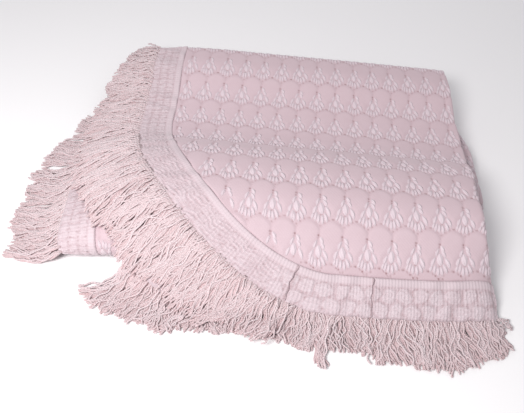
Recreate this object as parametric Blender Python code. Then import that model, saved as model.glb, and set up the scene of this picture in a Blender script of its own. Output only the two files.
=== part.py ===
"""Lace bedspread with a woven band and a yarn fringe, folded and laid on a flat surface.

The cloth is folded once lengthwise, so that each leg of the stack is a pair of layers joined
at the right, and then back and forth, so that the legs are joined at the back and the front.
Metres, +X to the right along the lace rows, +Y to the back, +Z up.
"""

import math
import random
from collections import namedtuple

import bmesh
import bpy
import numpy as np
from mathutils.geometry import delaunay_2d_cdt

# Thicknesses and gaps
SHEET = 0.0020
BAND_THICK = 0.0022
PART_GAP = 0.0004
LEAST_HALF_GAP = 0.0019
LAYERS = 10

# Lace pattern: one fan and one dome in each cell
FAN_PITCH = 0.028
ROW_PITCH = 0.0502
FAN_ROWS = 8
FIRST_FAN = -7
LAST_FAN = 7
FAN_OFFSET = 0.014
FIRST_ROW_BACK = 0.0
LACE_END_BACK = 0.040

# Trim: a woven band with fringe locks on its outer edge
BAND_WIDTH = 0.046
PUFF_SHARES = (0.24, 0.62)
PUFF_RAISE = 0.0010
LOCK_ROOT = 0.66
LOCK_TALL = 0.0028
LOCK_TIP_WIDE = 0.0034
LOCK_STEPS = (0.30, 0.64, 1.0)
LOCK_SWAY = 0.0026
LOCK_SWAY_LENGTH = 0.052
LOCK_SWAY_POWER = 1.5
LOCK_STRAY = 0.0004
LOCK_LENGTHS = (0.88, 1.10)
TURN_POWER = 2.0
ROOT_BACK = 0.008
FALL_POWER = 2.0
STACK_SINK = 0.0002
UNDERLAY = 0.0068
UNDERLAY_END = -0.030

# Foot corners, as quarters of a rounded outline
CORNER_POWER = 1.7
TOP_CORNER = (0.223, 0.262)
UNDER_CORNER = (0.078, 0.085)

# Lengthwise fold and mesh steps
FOLD_HALF = 0.006
FOLD_STEPS = 4
LEAST_FOLD_STEPS = 14
BIG_FOLD = 0.060
BIG_FOLD_ROWS = 8
SMALL_FOLD_ROWS = 5
EDGE_PARTS = 6
ROW_STEP = 0.0245
PATH_STEP = 0.002
FINE_STEP = 0.001
SHORTEST_STEP = 0.002
CORNER_POINTS = 15
COLUMN_SHARES = (0.33, 0.66, 0.88)
WIDEST_COLUMN = 0.170
LONGEST_ROW = 0.030
LEAST_CLEAR = 0.004
OUTWARD_BLUR = 15
MERGE_STEP = 1e-7
SEED = 8

# Colours
LACE_COLOUR = (0.72, 0.55, 0.59)
BAND_COLOUR = (0.78, 0.62, 0.65)

# Top face of the stack, from the back fold to the floor in front
Station = namedtuple("Station", "back height")
STATIONS = (
    Station(0.070, 0.0620),
    Station(0.045, 0.0620),
    Station(0.000, 0.0620),
    Station(-0.048, 0.0470),
    Station(-0.098, 0.0410),
    Station(-0.148, 0.0470),
    Station(-0.194, 0.0670),
    Station(-0.243, 0.0780),
    Station(-0.293, 0.0770),
    Station(-0.337, 0.0530),
    Station(-0.355, 0.0390),
    Station(-0.374, 0.0260),
    Station(-0.392, 0.0140),
    Station(-0.405, 0.0065),
    Station(-0.420, 0.0032),
    Station(-0.520, 0.0032),
)
FOOT_BACK = -0.355
BAND_FOOT_BACK = -0.410

# The stack settles towards its sides: a share of the height at each place across
Settle = namedtuple("Settle", "across share")
SETTLES = (
    Settle(-0.440, 0.06),
    Settle(-0.345, 0.22),
    Settle(-0.300, 0.50),
    Settle(-0.268, 0.70),
    Settle(-0.236, 0.85),
    Settle(-0.193, 0.96),
    Settle(-0.140, 1.00),
    Settle(-0.090, 1.00),
    Settle(0.150, 1.00),
    Settle(0.210, 0.99),
    Settle(0.260, 0.93),
    Settle(0.360, 0.80),
)

# Legs in the order of the cloth: the pair's place in the stack, where it runs, and how far
# the fold at its end reaches
Leg = namedtuple("Leg", "name pair start end reach")
LEGS = (
    Leg("top", 4, BAND_FOOT_BACK, 0.040, 0.0068),
    Leg("second", 3, 0.040, -0.286, 0.0360),
    Leg("floor", 0, -0.302, 0.036, 0.0068),
    Leg("low", 1, 0.036, -0.285, 0.0086),
    Leg("middle", 2, -0.285, 0.034, 0.0),
)

# Side edges of the cloth: left edge of each layer of the pair, and the fold at the right
Edge = namedtuple("Edge", "leg back left_outer left_inner right")
EDGES = (
    Edge("top", -0.410, -0.193, -0.199, 0.212),
    Edge("top", -0.355, -0.193, -0.199, 0.212),
    Edge("top", -0.293, -0.193, -0.198, 0.203),
    Edge("top", -0.243, -0.193, -0.196, 0.203),
    Edge("top", -0.194, -0.192, -0.195, 0.212),
    Edge("top", -0.148, -0.191, -0.194, 0.219),
    Edge("top", -0.098, -0.191, -0.194, 0.222),
    Edge("top", -0.048, -0.192, -0.194, 0.219),
    Edge("top", 0.030, -0.194, -0.195, 0.215),
    Edge("second", 0.030, -0.193, -0.195, 0.216),
    Edge("second", -0.040, -0.198, -0.203, 0.212),
    Edge("second", -0.107, -0.212, -0.222, 0.198),
    Edge("second", -0.200, -0.236, -0.252, 0.172),
    Edge("second", -0.280, -0.234, -0.249, 0.172),
    Edge("floor", -0.296, -0.228, -0.236, 0.184),
    Edge("floor", -0.140, -0.196, -0.200, 0.224),
    Edge("floor", 0.026, -0.180, -0.182, 0.240),
    Edge("low", 0.026, -0.180, -0.184, 0.244),
    Edge("low", -0.190, -0.184, -0.188, 0.240),
    Edge("low", -0.275, -0.200, -0.204, 0.220),
    Edge("middle", -0.275, -0.204, -0.208, 0.212),
    Edge("middle", 0.034, -0.188, -0.190, 0.226),
)

# Raised points of one lace cell: across from the fan's middle, towards the foot from the row's
# middle, and how high they stand
Raised = namedtuple("Raised", "across foot raise_by")
CELL = (
    Raised(0.0000, -0.0130, 0.0002),
    Raised(0.0000, 0.0040, 0.0012),
    Raised(-0.0080, 0.0120, 0.0011),
    Raised(0.0080, 0.0120, 0.0011),
    Raised(0.0000, 0.0190, 0.0012),
    Raised(0.0000, 0.0250, -0.0003),
    Raised(0.0140, 0.0090, -0.0006),
    Raised(0.0140, -0.0020, 0.0010),
    Raised(0.0140, -0.0150, 0.0019),
    Raised(0.0140, -0.0280, 0.0012),
    Raised(0.0070, -0.0190, 0.0010),
    Raised(-0.0070, -0.0190, 0.0010),
)

# Lengths of trim between two places on the cloth's edge. A place is a layer, a leg or the foot
# edge, and where: back on a leg, a share of a fold, or across on the foot edge
TRIMS = (
    ("trim_left", ("outer", "fold after top", 0.95), ("outer", "foot", -0.010)),
    ("trim_patch", ("outer", "foot", -0.010), ("outer", "foot", 0.077)),
    ("trim_right", ("outer", "foot", 0.077), ("inner", "foot", 0.150)),
    ("trim_under", ("inner", "foot", 0.150), ("inner", "top", 0.020)),
    ("trim_lower", ("inner", "top", 0.020), ("inner", "fold after second", 0.88)),
)

# Fringe locks of each trim: between two places, with their spacing at the band's outer edge,
# their length on plan, the angles by which the first and the last ones turn from straight out,
# and whether they lie on the stack or fall to the floor
Fringe = namedtuple("Fringe", "start end pitch length turn_first turn_last rest")
FRINGES = {
    "trim_left": (
        Fringe(("outer", "top", 0.042), ("outer", "top", -0.110), 0.0076, 0.075, -30, 0, "stack"),
        Fringe(("outer", "top", -0.110), ("outer", "foot", -0.060), 0.0076, 0.070, 0, 0, "stack"),
        Fringe(("outer", "foot", -0.060), ("outer", "foot", -0.012), 0.0076, 0.052, 0, 0, "stack"),
    ),
    "trim_patch": (
        Fringe(("outer", "foot", -0.008), ("outer", "foot", 0.075), 0.0076, 0.050, 0, 0, "floor"),
    ),
    "trim_right": (
        Fringe(("outer", "foot", 0.079), ("outer", "foot", 0.160), 0.0076, 0.050, 0, 0, "floor"),
        Fringe(("outer", "foot", 0.160), ("outer", "foot", 0.211), 0.0076, 0.045, 0, 80, "floor"),
    ),
    "trim_under": (
        Fringe(("inner", "foot", -0.050), ("inner", "top", -0.335), 0.0080, 0.050, 0, 45, "floor"),
    ),
    "trim_lower": (
        Fringe(("inner", "second", 0.020), ("inner", "second", -0.285), 0.0078, 0.074, 0, 0,
               "floor"),
        Fringe(("inner", "second", -0.285), ("inner", "fold after second", 0.45), 0.0100,
               0.066, 0, 15, "floor"),
    ),
}


def read_smooth(at, places, values):
    """Reads a table at the given places along a smooth curve through its rows."""
    places = np.asarray(places, float)
    values = np.asarray(values, float)
    order = np.argsort(places)
    places, values = places[order], values[order]
    slopes = np.gradient(values, places)
    at = np.clip(np.asarray(at, float), places[0], places[-1])
    row = np.clip(np.searchsorted(places, at, side="right") - 1, 0, len(places) - 2)
    step = places[row + 1] - places[row]
    u = (at - places[row]) / step
    start = (1 + 2 * u) * (1 - u) ** 2 * values[row] + u * (1 - u) ** 2 * step * slopes[row]
    end = u * u * (3 - 2 * u) * values[row + 1] + u * u * (u - 1) * step * slopes[row + 1]
    return start + end


def top_height(back):
    return read_smooth(back, [s.back for s in STATIONS], [s.height for s in STATIONS])


def settle_share(across):
    return read_smooth(across, [s.across for s in SETTLES], [s.share for s in SETTLES])


def leg_heights(leg, back):
    """Height of the middle of a pair of layers, and half the distance between the two."""
    tops = top_height(back)
    pitch = (tops - SHEET) / (LAYERS - 1)
    if leg.name == "top":
        half_gap = np.maximum(pitch / 2, LEAST_HALF_GAP)
        return tops - SHEET / 2 - half_gap, half_gap
    return SHEET / 2 + pitch * (2 * leg.pair + 0.5), pitch / 2


class FoldedPath:
    """The back-and-forth section of the cloth, read by the distance from its foot edge."""

    def __init__(self):
        backs, heights, gaps, self.spans, self.rows = [], [], [], {}, []
        count = 0
        for leg, after in zip(LEGS, LEGS[1:] + (None,)):
            steps = math.ceil(abs(leg.end - leg.start) / PATH_STEP)
            back = np.linspace(leg.start, leg.end, steps)
            height, gap = leg_heights(leg, back)
            self.spans[leg.name] = (count, count + steps)
            count += steps
            backs.append(back)
            heights.append(height)
            gaps.append(gap)
            if after is None:
                continue
            next_height, next_gap = leg_heights(after, np.array([after.start]))
            middle = (height[-1] + next_height[0]) / 2
            half = (height[-1] - next_height[0]) / 2
            way = math.copysign(leg.reach, leg.end - leg.start)
            steps = max(LEAST_FOLD_STEPS, math.ceil(math.pi * abs(half) / PATH_STEP))
            angle = np.linspace(0, math.pi, steps + 2)[1:-1]
            shift = (after.start - leg.end) * angle / math.pi
            backs.append(leg.end + shift + way * np.sin(angle))
            heights.append(middle + half * np.cos(angle))
            gaps.append(gap[-1] + (next_gap[0] - gap[-1]) * angle / math.pi)
            self.spans["fold after " + leg.name] = (count, count + steps)
            count += steps
        self.back = np.concatenate(backs)
        self.height = np.concatenate(heights)
        self.gap = np.concatenate(gaps)
        along = np.hypot(np.diff(self.back), np.diff(self.height))
        self.along = np.concatenate([[0.0], np.cumsum(along)])
        self.along -= self.at("top", FOOT_BACK)
        way_back = np.gradient(self.back, self.along)
        way_up = np.gradient(self.height, self.along)
        size = np.hypot(way_back, way_up)
        self.normal_back = -way_up / size
        self.normal_up = way_back / size
        places = [self.at(edge.leg, edge.back) for edge in EDGES]
        self.sides = {
            "outer": (places, [edge.left_outer for edge in EDGES]),
            "inner": (places, [edge.left_inner for edge in EDGES]),
            "right": (places, [edge.right for edge in EDGES]),
        }

    def at(self, name, where):
        """Distance from the foot edge of a place on a leg, or of a share of a fold."""
        first, last = self.spans[name]
        backs, along = self.back[first:last], self.along[first:last]
        if name.startswith("fold"):
            return float(along[0] + (along[-1] - along[0]) * where)
        if backs[0] > backs[-1]:
            backs, along = backs[::-1], along[::-1]
        return float(np.interp(where, backs, along))

    def side(self, which, along):
        return read_smooth(along, *self.sides[which])

    def rows_along(self):
        """The rows of the mesh: even steps along each leg, and finer ones round each fold."""
        rows = []
        for name, (first, last) in self.spans.items():
            start, end = max(self.along[first], 0.0), self.along[last - 1]
            if name.startswith("fold"):
                steps = BIG_FOLD_ROWS if end - start > BIG_FOLD else SMALL_FOLD_ROWS
                rows.extend(np.linspace(start, end, steps + 2)[1:-1])
            else:
                rows.extend(np.linspace(start, end, round((end - start) / ROW_STEP) + 1))
        return rows


PATH = FoldedPath()


def place(across, along, lift):
    """Puts points of the opened cloth on the folded one.

    across is the distance from the middle of the lengthwise fold, negative on the layer that
    lies on top of the stack. along is the distance from the foot edge. lift is the height over
    the middle of the cloth's thickness.
    """
    across, along, lift = np.broadcast_arrays(across, along, lift)
    back = np.interp(along, PATH.along, PATH.back)
    height = np.interp(along, PATH.along, PATH.height)
    gap = np.interp(along, PATH.along, PATH.gap)
    normal_back = np.interp(along, PATH.along, PATH.normal_back)
    normal_up = np.interp(along, PATH.along, PATH.normal_up)
    turn = math.pi * np.clip((across + FOLD_HALF) / (2 * FOLD_HALF), 0, 1)
    away = np.maximum(np.abs(across) - FOLD_HALF, 0)
    x = PATH.side("right", along) - away + (gap + lift) * np.sin(turn)
    off = (gap + lift) * np.cos(turn)
    y = back + normal_back * off
    z = (height + normal_up * off) * settle_share(x)
    return np.stack([x, y, z], axis=-1)


def across_of(layer, x, along):
    """The opened cloth's across value of a place x on one layer."""
    sign = -1 if layer == "outer" else 1
    return sign * (PATH.side("right", along) - x + FOLD_HALF)


def left_edge(layer, along):
    along = np.asarray(along, float)
    return np.stack([across_of(layer, PATH.side(layer, along), along), along], axis=-1)


def foot_corner(layer, count):
    """The rounded corner from the left edge to the foot edge."""
    reach, rise = TOP_CORNER if layer == "outer" else UNDER_CORNER
    angle = np.linspace(0, math.pi / 2, count)
    power = 2 / CORNER_POWER
    along = rise * (1 - np.sin(angle) ** power)
    x = PATH.side(layer, along) + reach * (1 - np.abs(np.cos(angle)) ** power)
    return np.stack([across_of(layer, x, along), along], axis=-1)


def foot_edge(layer, xs):
    xs = np.asarray(xs, float)
    return np.stack([across_of(layer, xs, 0.0), np.zeros(len(xs))], axis=-1)


def corner_end(layer):
    reach = (TOP_CORNER if layer == "outer" else UNDER_CORNER)[0]
    return float(PATH.side(layer, 0.0)) + reach


def between(values, parts):
    """Splits each step of a list of values into equal parts."""
    count = (len(values) - 1) * parts + 1
    return np.interp(np.arange(count) / parts, np.arange(len(values)), values)


def whole_edge(rows, parts):
    """The cloth's edge from the head of the top layer, round the foot, to the head again.

    parts is the number of steps between two points of the cloth's own outline.
    """
    right = float(PATH.side("right", 0.0))
    turn = between(np.linspace(-FOLD_HALF, FOLD_HALF, FOLD_STEPS + 1), parts)
    halves = {}
    for layer in ("outer", "inner"):
        rise = (TOP_CORNER if layer == "outer" else UNDER_CORNER)[1]
        left = [row for row in reversed(rows) if row > rise + ROW_STEP / 2] + [rise]
        start = corner_end(layer)
        steps = max(2, round((right - start) / FAN_PITCH)) * parts
        halves[layer] = np.concatenate([
            left_edge(layer, between(left, parts)[:-1]),
            foot_corner(layer, (CORNER_POINTS - 1) * parts + 1),
            foot_edge(layer, np.linspace(start, right, steps + 1)[1:-1]),
        ])
    middle = np.stack([turn, np.zeros(len(turn))], axis=-1)
    return np.concatenate([halves["outer"], middle, halves["inner"][::-1]])


class ClothEdge:
    """The cloth's edge as a fine line, with the way outward from it."""

    def __init__(self):
        self.line = whole_edge(PATH.rows_along(), EDGE_PARTS)
        step = np.linalg.norm(np.diff(self.line, axis=0), axis=1)
        self.s = np.concatenate([[0.0], np.cumsum(step)])
        self.stops = self.s[::EDGE_PARTS]
        fine = np.arange(0.0, self.s[-1], FINE_STEP)
        points = self.flat(fine)
        way = np.gradient(points, axis=0)
        blur = np.ones(OUTWARD_BLUR) / OUTWARD_BLUR
        way = np.stack([np.convolve(way[:, k], blur, mode="same") for k in (0, 1)], axis=-1)
        way /= np.linalg.norm(way, axis=1)[:, None]
        self.fine = fine
        self.outward = np.stack([way[:, 1], -way[:, 0]], axis=-1)

    def flat(self, s):
        return np.stack([np.interp(s, self.s, self.line[:, k]) for k in (0, 1)], axis=-1)

    def off(self, s, out):
        """Flat points at a distance outward from the edge."""
        s, out = np.broadcast_arrays(s, out)
        way = np.stack([np.interp(s, self.fine, self.outward[:, k]) for k in (0, 1)], axis=-1)
        return self.flat(s) + way * out[..., None]

    def put(self, s, out, lift):
        flat = self.off(s, out)
        return place(flat[..., 0], flat[..., 1], lift)

    def mark(self, where):
        """The distance along the edge of a place, given as the tables above say."""
        layer, part, value = where
        if part == "foot":
            target = foot_edge(layer, [value])[0]
        else:
            target = left_edge(layer, [PATH.at(part, value)])[0]
        return float(self.s[np.argmin(np.linalg.norm(self.line - target, axis=1))])


EDGE = ClothEdge()


def line_edges(points, axis, longest):
    """Pairs of neighbours on each line of points, so that no triangle skips a line.

    axis is 1 for rows, which share their distance along, and 0 for columns.
    """
    lines = {}
    for number, point in enumerate(points):
        lines.setdefault(round(point[axis], 6), []).append((point[1 - axis], number))
    pairs = []
    for line in lines.values():
        line.sort()
        for (low, first), (high, second) in zip(line, line[1:]):
            if high - low < longest:
                pairs.append((first, second))
    return pairs


def triangles(outline, inside):
    """Triangulates a flat outline with points inside it. Returns faces by input number."""
    points = [tuple(p) for p in outline] + [tuple(p) for p in inside]
    loop = list(range(len(outline)))
    lines = line_edges(points, 1, WIDEST_COLUMN) + line_edges(points, 0, LONGEST_ROW)
    found = delaunay_2d_cdt(points, lines, [loop], 1, MERGE_STEP)
    number = [sorted(ids)[0] for ids in found[3]]
    return [[number[i] for i in face] for face in found[2]]


def closed_sheet(outline, over, under, thickness, put):
    """A closed thin solid: an upper and a lower skin with one outline, and a rim between them.

    The outline runs anticlockwise. over and under are the inner points of the two skins, as
    (first, second, lift). put places flat points in space. Returns the mesh and the rim's faces
    by the outline's numbers.
    """
    mesh = bmesh.new()
    corners = {}
    for skin, inner in (("over", over), ("under", under)):
        flat = np.concatenate([outline, inner[:, :2]])
        raised = np.concatenate([np.zeros(len(outline)), inner[:, 2]])
        half = thickness / 2 if skin == "over" else -thickness / 2
        solid = put(flat[:, 0], flat[:, 1], half + raised)
        corners[skin] = [mesh.verts.new(p) for p in solid]
        for face in triangles(outline, inner[:, :2]):
            turned = face if skin == "over" else reversed(face)
            mesh.faces.new([corners[skin][i] for i in turned])
    rim = {}
    for i in range(len(outline)):
        j = (i + 1) % len(outline)
        quad = (corners["over"][j], corners["over"][i], corners["under"][i], corners["under"][j])
        rim[i] = mesh.faces.new(quad)
    return mesh, rim


def lace_points():
    """Raised points of the fan rows on the face that shows."""
    first = PATH.at("top", FIRST_ROW_BACK)
    found = []
    for row in range(FAN_ROWS):
        for fan in range(FIRST_FAN, LAST_FAN + 1):
            for spot in CELL:
                along = first - row * ROW_PITCH - spot.foot
                x = fan * FAN_PITCH + FAN_OFFSET + spot.across
                found.append((across_of("outer", x, along), along, spot.raise_by))
    return np.array(found)


def clear_of(points, outline, least):
    """Keeps the points inside an outline that lie a least distance from it."""
    ends = np.roll(outline, -1, axis=0)
    way = ends - outline
    offset = points[:, None, :2] - outline[None]
    share = np.clip((offset * way).sum(-1) / (way * way).sum(-1), 0, 1)
    near = np.linalg.norm(offset - share[..., None] * way, axis=-1).min(axis=1)
    above = outline[None, :, 1] > points[:, None, 1]
    crosses = above != (ends[None, :, 1] > points[:, None, 1])
    rise = np.where(way[:, 1] == 0, 1.0, way[:, 1])
    cut = outline[:, 0] + (points[:, None, 1] - outline[:, 1]) / rise * way[:, 0]
    inside = (crosses & (points[:, None, 0] < cut)).sum(axis=1) % 2 == 1
    return points[inside & (near > least)]


def columns(row):
    """Across values of a row of plain points: the two layers, and the fold between them."""
    found = list(np.linspace(-FOLD_HALF, FOLD_HALF, FOLD_STEPS + 1))
    for layer, sign in (("outer", -1), ("inner", 1)):
        width = float(PATH.side("right", row) - PATH.side(layer, row))
        found.extend(sign * (FOLD_HALF + share * width) for share in COLUMN_SHARES)
    return sorted(found)


def make_cloth():
    rows = PATH.rows_along()
    head = [(across, rows[-1]) for across in reversed(columns(rows[-1]))]
    outline = np.concatenate([EDGE.flat(EDGE.stops), head])
    lace_end = PATH.at("top", LACE_END_BACK)
    hidden = [(across, row, 0.0) for row in rows[1:-1] for across in columns(row)]
    plain = [spot for spot in hidden if spot[0] > -FOLD_HALF - FINE_STEP or spot[1] > lace_end]
    over = clear_of(np.array(plain), outline, LEAST_CLEAR)
    under = clear_of(np.array(hidden), outline, LEAST_CLEAR)
    lace = clear_of(lace_points(), outline, LEAST_CLEAR)
    lace = lace[(lace[:, 0] < -FOLD_HALF - LEAST_CLEAR) & (lace[:, 1] < lace_end + ROW_STEP / 2)]
    mesh, _ = closed_sheet(outline, np.concatenate([over, lace]), under, SHEET, place)
    return mesh


def steps_between(first, last):
    """The ends of a length of trim, and the cloth's own outline points between them."""
    inner = [s for s in EDGE.stops if first + SHORTEST_STEP < s < last - SHORTEST_STEP]
    return [first] + inner + [last]


def lock_roots(fringe):
    """Pairs of places along the edge, one pair for each lock of a fringe."""
    start, end = sorted((EDGE.mark(fringe.start), EDGE.mark(fringe.end)))
    fine = np.arange(start, end, FINE_STEP)
    outer = EDGE.put(fine, BAND_WIDTH, 0.0)
    length = np.concatenate([[0.0], np.cumsum(np.linalg.norm(np.diff(outer, axis=0), axis=1))])
    count = int(length[-1] // fringe.pitch)
    middles = (np.arange(count) + 0.5) * length[-1] / count
    half = LOCK_ROOT * fringe.pitch / 2
    return [
        (float(np.interp(m - half, length, fine)), float(np.interp(m + half, length, fine)), m,
         m / length[-1])
        for m in middles
    ]


def rest_height(x, y, root, share, rest):
    """Height of a lock's middle: on the stack, or falling to rest level on the floor."""
    level = LOCK_TALL / 2
    if rest == "floor":
        return level + (root - level) * max(0.0, 1 - share / LOCK_STEPS[1]) ** FALL_POWER
    over = level + (UNDERLAY if x < UNDERLAY_END else 0.0)
    return max(float(top_height(y) * settle_share(x)) - STACK_SINK, over)


def matching_corners(offsets, cross, wide):
    """The order of a lock's corners that meets the corners of its root without a twist."""
    corners = [(-1, 1), (1, 1), (1, -1), (-1, -1)]
    orders = [corners[k:] + corners[:k] for k in range(4)]
    orders += [order[::-1] for order in orders]

    def distance(order):
        total = 0.0
        for (side, up), offset in zip(order, offsets):
            spot = np.array([*(cross * side * wide / 2), up * BAND_THICK / 2])
            total += float(np.linalg.norm(spot - offset))
        return total

    return min(orders, key=distance)


def add_lock(mesh, quad, s, along, share_along, fringe, chance):
    """Grows one lock out of a face of the band's outer rim."""
    root = np.mean([v.co for v in quad], axis=0)
    inner = EDGE.put(s, BAND_WIDTH - ROOT_BACK, 0.0)
    way = (root - inner)[:2]
    way /= np.linalg.norm(way)
    turn = fringe.turn_first * (1 - share_along) ** TURN_POWER
    turn = math.radians(turn + fringe.turn_last * share_along ** TURN_POWER)
    way = np.array([way[0] * math.cos(turn) - way[1] * math.sin(turn),
                    way[0] * math.sin(turn) + way[1] * math.cos(turn)])
    cross = np.array([-way[1], way[0]])
    wide = LOCK_ROOT * fringe.pitch
    order = matching_corners([np.array(v.co) - root for v in quad], cross, wide)
    length = fringe.length * chance.uniform(*LOCK_LENGTHS)
    sway = LOCK_SWAY * math.sin(2 * math.pi * along / LOCK_SWAY_LENGTH)
    sway += chance.uniform(-LOCK_STRAY, LOCK_STRAY)
    ring = list(quad)
    for share in LOCK_STEPS:
        flat = root[:2] + way * length * share + cross * sway * share ** LOCK_SWAY_POWER
        z = rest_height(flat[0], flat[1], root[2], share, fringe.rest)
        half = (wide + (LOCK_TIP_WIDE - wide) * share) / 2
        corners = []
        for side, up in order:
            spot = flat + cross * half * side
            corners.append(mesh.verts.new((spot[0], spot[1], z + up * LOCK_TALL / 2)))
        for i in range(4):
            j = (i + 1) % 4
            mesh.faces.new((ring[i], ring[j], corners[j], corners[i]))
        ring = corners
    mesh.faces.new(ring)


def make_trim(name, start, end):
    """One length of band along the cloth's edge, with its fringe locks."""
    first, last = sorted((EDGE.mark(start), EDGE.mark(end)))
    first, last = first + PART_GAP / 2, last - PART_GAP / 2
    steps = steps_between(first, last)
    locks = {}
    for fringe in FRINGES[name]:
        for low, high, along, share in lock_roots(fringe):
            if first < low and high < last:
                locks[low] = (high, along, share, fringe)
    free = [s for s in steps
            if not any(low - FINE_STEP < s < lock[0] + FINE_STEP for low, lock in locks.items())]
    edges = sorted(set(free) | set(locks) | {lock[0] for lock in locks.values()})
    outline = [(s, PART_GAP) for s in steps] + [(s, BAND_WIDTH) for s in reversed(edges)]
    outline = np.array(outline)
    inside = [
        (s, BAND_WIDTH * share, PUFF_RAISE * ((number + puff) % 2))
        for number, s in enumerate(steps[1:-1])
        for puff, share in enumerate(PUFF_SHARES)
    ]
    inside = np.array(inside)
    flat = inside * (1, 1, 0)
    mesh, rim = closed_sheet(outline, inside, flat, BAND_THICK, EDGE.put)
    chance = random.Random(SEED)
    for number, (s, out) in enumerate(outline):
        if out != BAND_WIDTH or s not in locks:
            continue
        high, along, share, fringe = locks[s]
        quad = list(rim[number - 1].verts)
        mesh.faces.remove(rim[number - 1])
        add_lock(mesh, quad, (s + high) / 2, along, share, fringe, chance)
    return mesh


def material(name, colour, roughness):
    made = bpy.data.materials.new(name)
    made.use_nodes = True
    shader = made.node_tree.nodes["Principled BSDF"]
    shader.inputs["Base Color"].default_value = (*colour, 1.0)
    shader.inputs["Roughness"].default_value = roughness
    shader.inputs["Metallic"].default_value = 0.0
    return made


def add_object(name, mesh, finish, parent):
    bmesh.ops.triangulate(mesh, faces=mesh.faces)
    if mesh.calc_volume(signed=True) < 0:
        bmesh.ops.reverse_faces(mesh, faces=mesh.faces)
    data = bpy.data.meshes.new(name)
    mesh.to_mesh(data)
    mesh.free()
    data.materials.append(finish)
    made = bpy.data.objects.new(name, data)
    made.parent = parent
    bpy.context.scene.collection.objects.link(made)
    return made


def stand_on_origin(parts):
    """Moves the parts so that the origin is under the middle of the whole, on the floor."""
    corners = np.array([v.co for part in parts for v in part.data.vertices])
    low, high = corners.min(axis=0), corners.max(axis=0)
    middle = (low + high) / 2
    for part in parts:
        for vertex in part.data.vertices:
            vertex.co.x -= middle[0]
            vertex.co.y -= middle[1]
        part.data.update()


def main():
    for old in list(bpy.data.objects):
        bpy.data.objects.remove(old)
    holder = bpy.data.objects.new("bedspread", None)
    bpy.context.scene.collection.objects.link(holder)
    lace = material("lace_cotton", LACE_COLOUR, 0.9)
    band = material("band_cotton", BAND_COLOUR, 0.9)
    parts = [add_object("lace_cloth", make_cloth(), lace, holder)]
    for name, start, end in TRIMS:
        parts.append(add_object(name, make_trim(name, start, end), band, holder))
    stand_on_origin(parts)


main()
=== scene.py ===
"""Looks of the lace bedspread: the lace with its fans and domes, the woven band, the yarn
fringe, the pale floor, the light and the camera.

The cloth is made flat, as it is opened, and each point is then put where it lies once folded.
"""

import math
from collections import namedtuple

import bpy
import numpy as np
from mathutils import Matrix, Vector
from mathutils.geometry import delaunay_2d_cdt


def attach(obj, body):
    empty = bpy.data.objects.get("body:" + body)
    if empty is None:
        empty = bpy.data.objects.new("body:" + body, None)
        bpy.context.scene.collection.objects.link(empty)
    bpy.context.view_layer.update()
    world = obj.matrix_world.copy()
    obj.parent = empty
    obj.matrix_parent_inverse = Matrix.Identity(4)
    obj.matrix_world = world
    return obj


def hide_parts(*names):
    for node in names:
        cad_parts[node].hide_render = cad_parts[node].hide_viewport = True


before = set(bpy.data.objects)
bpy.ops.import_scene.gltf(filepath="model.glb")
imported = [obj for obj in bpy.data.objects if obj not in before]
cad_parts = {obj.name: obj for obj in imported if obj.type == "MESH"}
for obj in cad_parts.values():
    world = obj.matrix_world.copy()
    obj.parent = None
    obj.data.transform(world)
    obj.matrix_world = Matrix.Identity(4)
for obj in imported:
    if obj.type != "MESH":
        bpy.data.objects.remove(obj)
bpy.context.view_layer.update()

MM = 1000.0
TURN = 2 * math.pi

# Where the middle of the solids lies in the coordinates of the tables below
MIDDLE = (-0.0618854, -0.1872260)

# Thicknesses and gaps
SHEET = 0.0020
BAND_THICK = 0.0022
PART_GAP = 0.0004
SEAM_GAP = 0.0001
LEAST_HALF_GAP = 0.0019
LAYERS = 10

# Lace pattern, and how far the hand-worked one strays: size, and waves along and across
FAN_PITCH = 0.028
ROW_PITCH = 0.0502
FAN_OFFSET = 0.014
PATTERN_SWAYS = ((0.0010, 31.0, 9.0), (0.0006, 83.0, -47.0))

# Lace mesh: its steps where it lies open and where it shows on folds, and where it shows
FINE_GRID = 0.0016
MEDIUM_GRID = 0.0032
GRID_STAGGER = 0.25
GRID_BEYOND = 0.06
COARSE_EVERY = 4
FINE_EDGE_END = ("inner foot", 150)
LACE_CLEAR = 0.0010
LACE_END_SHARE = 0.92
FOLD_STRIP = 0.016
SECOND_SHOWN = -0.170

# Trim
BAND_WIDTH = 0.046
BAND_STEP = 0.0010
UNDER_ALONG = slice(3, -3, 6)
UNDER_OUT = slice(6, -6, 8)
LOCK_TALL = 0.0028
BED_SHARE = 0.30
FALL_SHARE = 0.64
LOCK_SWAY = 0.0026
LOCK_SWAY_LENGTH = 0.052
TURN_POWER = 2.0
FALL_POWER = 2.0
ROOT_BACK = 0.008
ROOT_UNDER = 0.0040
STACK_SINK = 0.0002
BACK_EDGE = 0.044
BACK_SAG = 0.010
BACK_SAG_LENGTH = 0.04
UNDERLAY = 0.0068
UNDERLAY_END = -0.030

# Yarn of the fringe
YARN_RADIUS = 0.00108
YARN_SIDES = 4
YARN_POINTS = 22
YARN_LEVEL = 0.00125
YARN_TIP = 0.8
YARN_LENGTH = 0.075
YARN_SIZES = (0.85, 1.15)
TINY = 1e-9
SEED = 23

# Foot corners of the two layers, as quarters of a rounded outline: reach across and along
CORNER_POWER = 1.7
CORNERS = {"outer": (0.223, 0.262), "inner": (0.078, 0.085)}

# Lengthwise fold and mesh steps
FOLD_HALF = 0.006
FOLD_STEPS = 4
LEAST_FOLD_STEPS = 14
BIG_FOLD = 0.060
BIG_FOLD_ROWS = 10
SMALL_FOLD_ROWS = 7
ROW_STEP = 0.0245
PATH_STEP = 0.002
FINE_STEP = 0.001
CORNER_POINTS = 260
COLUMN_SHARES = (0.06, 0.33, 0.66, 0.88)
WIDEST_COLUMN = 0.170
LEAST_CLEAR = 0.004
OUTWARD_BLUR = 15
MERGE_STEP = 1e-7

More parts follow.
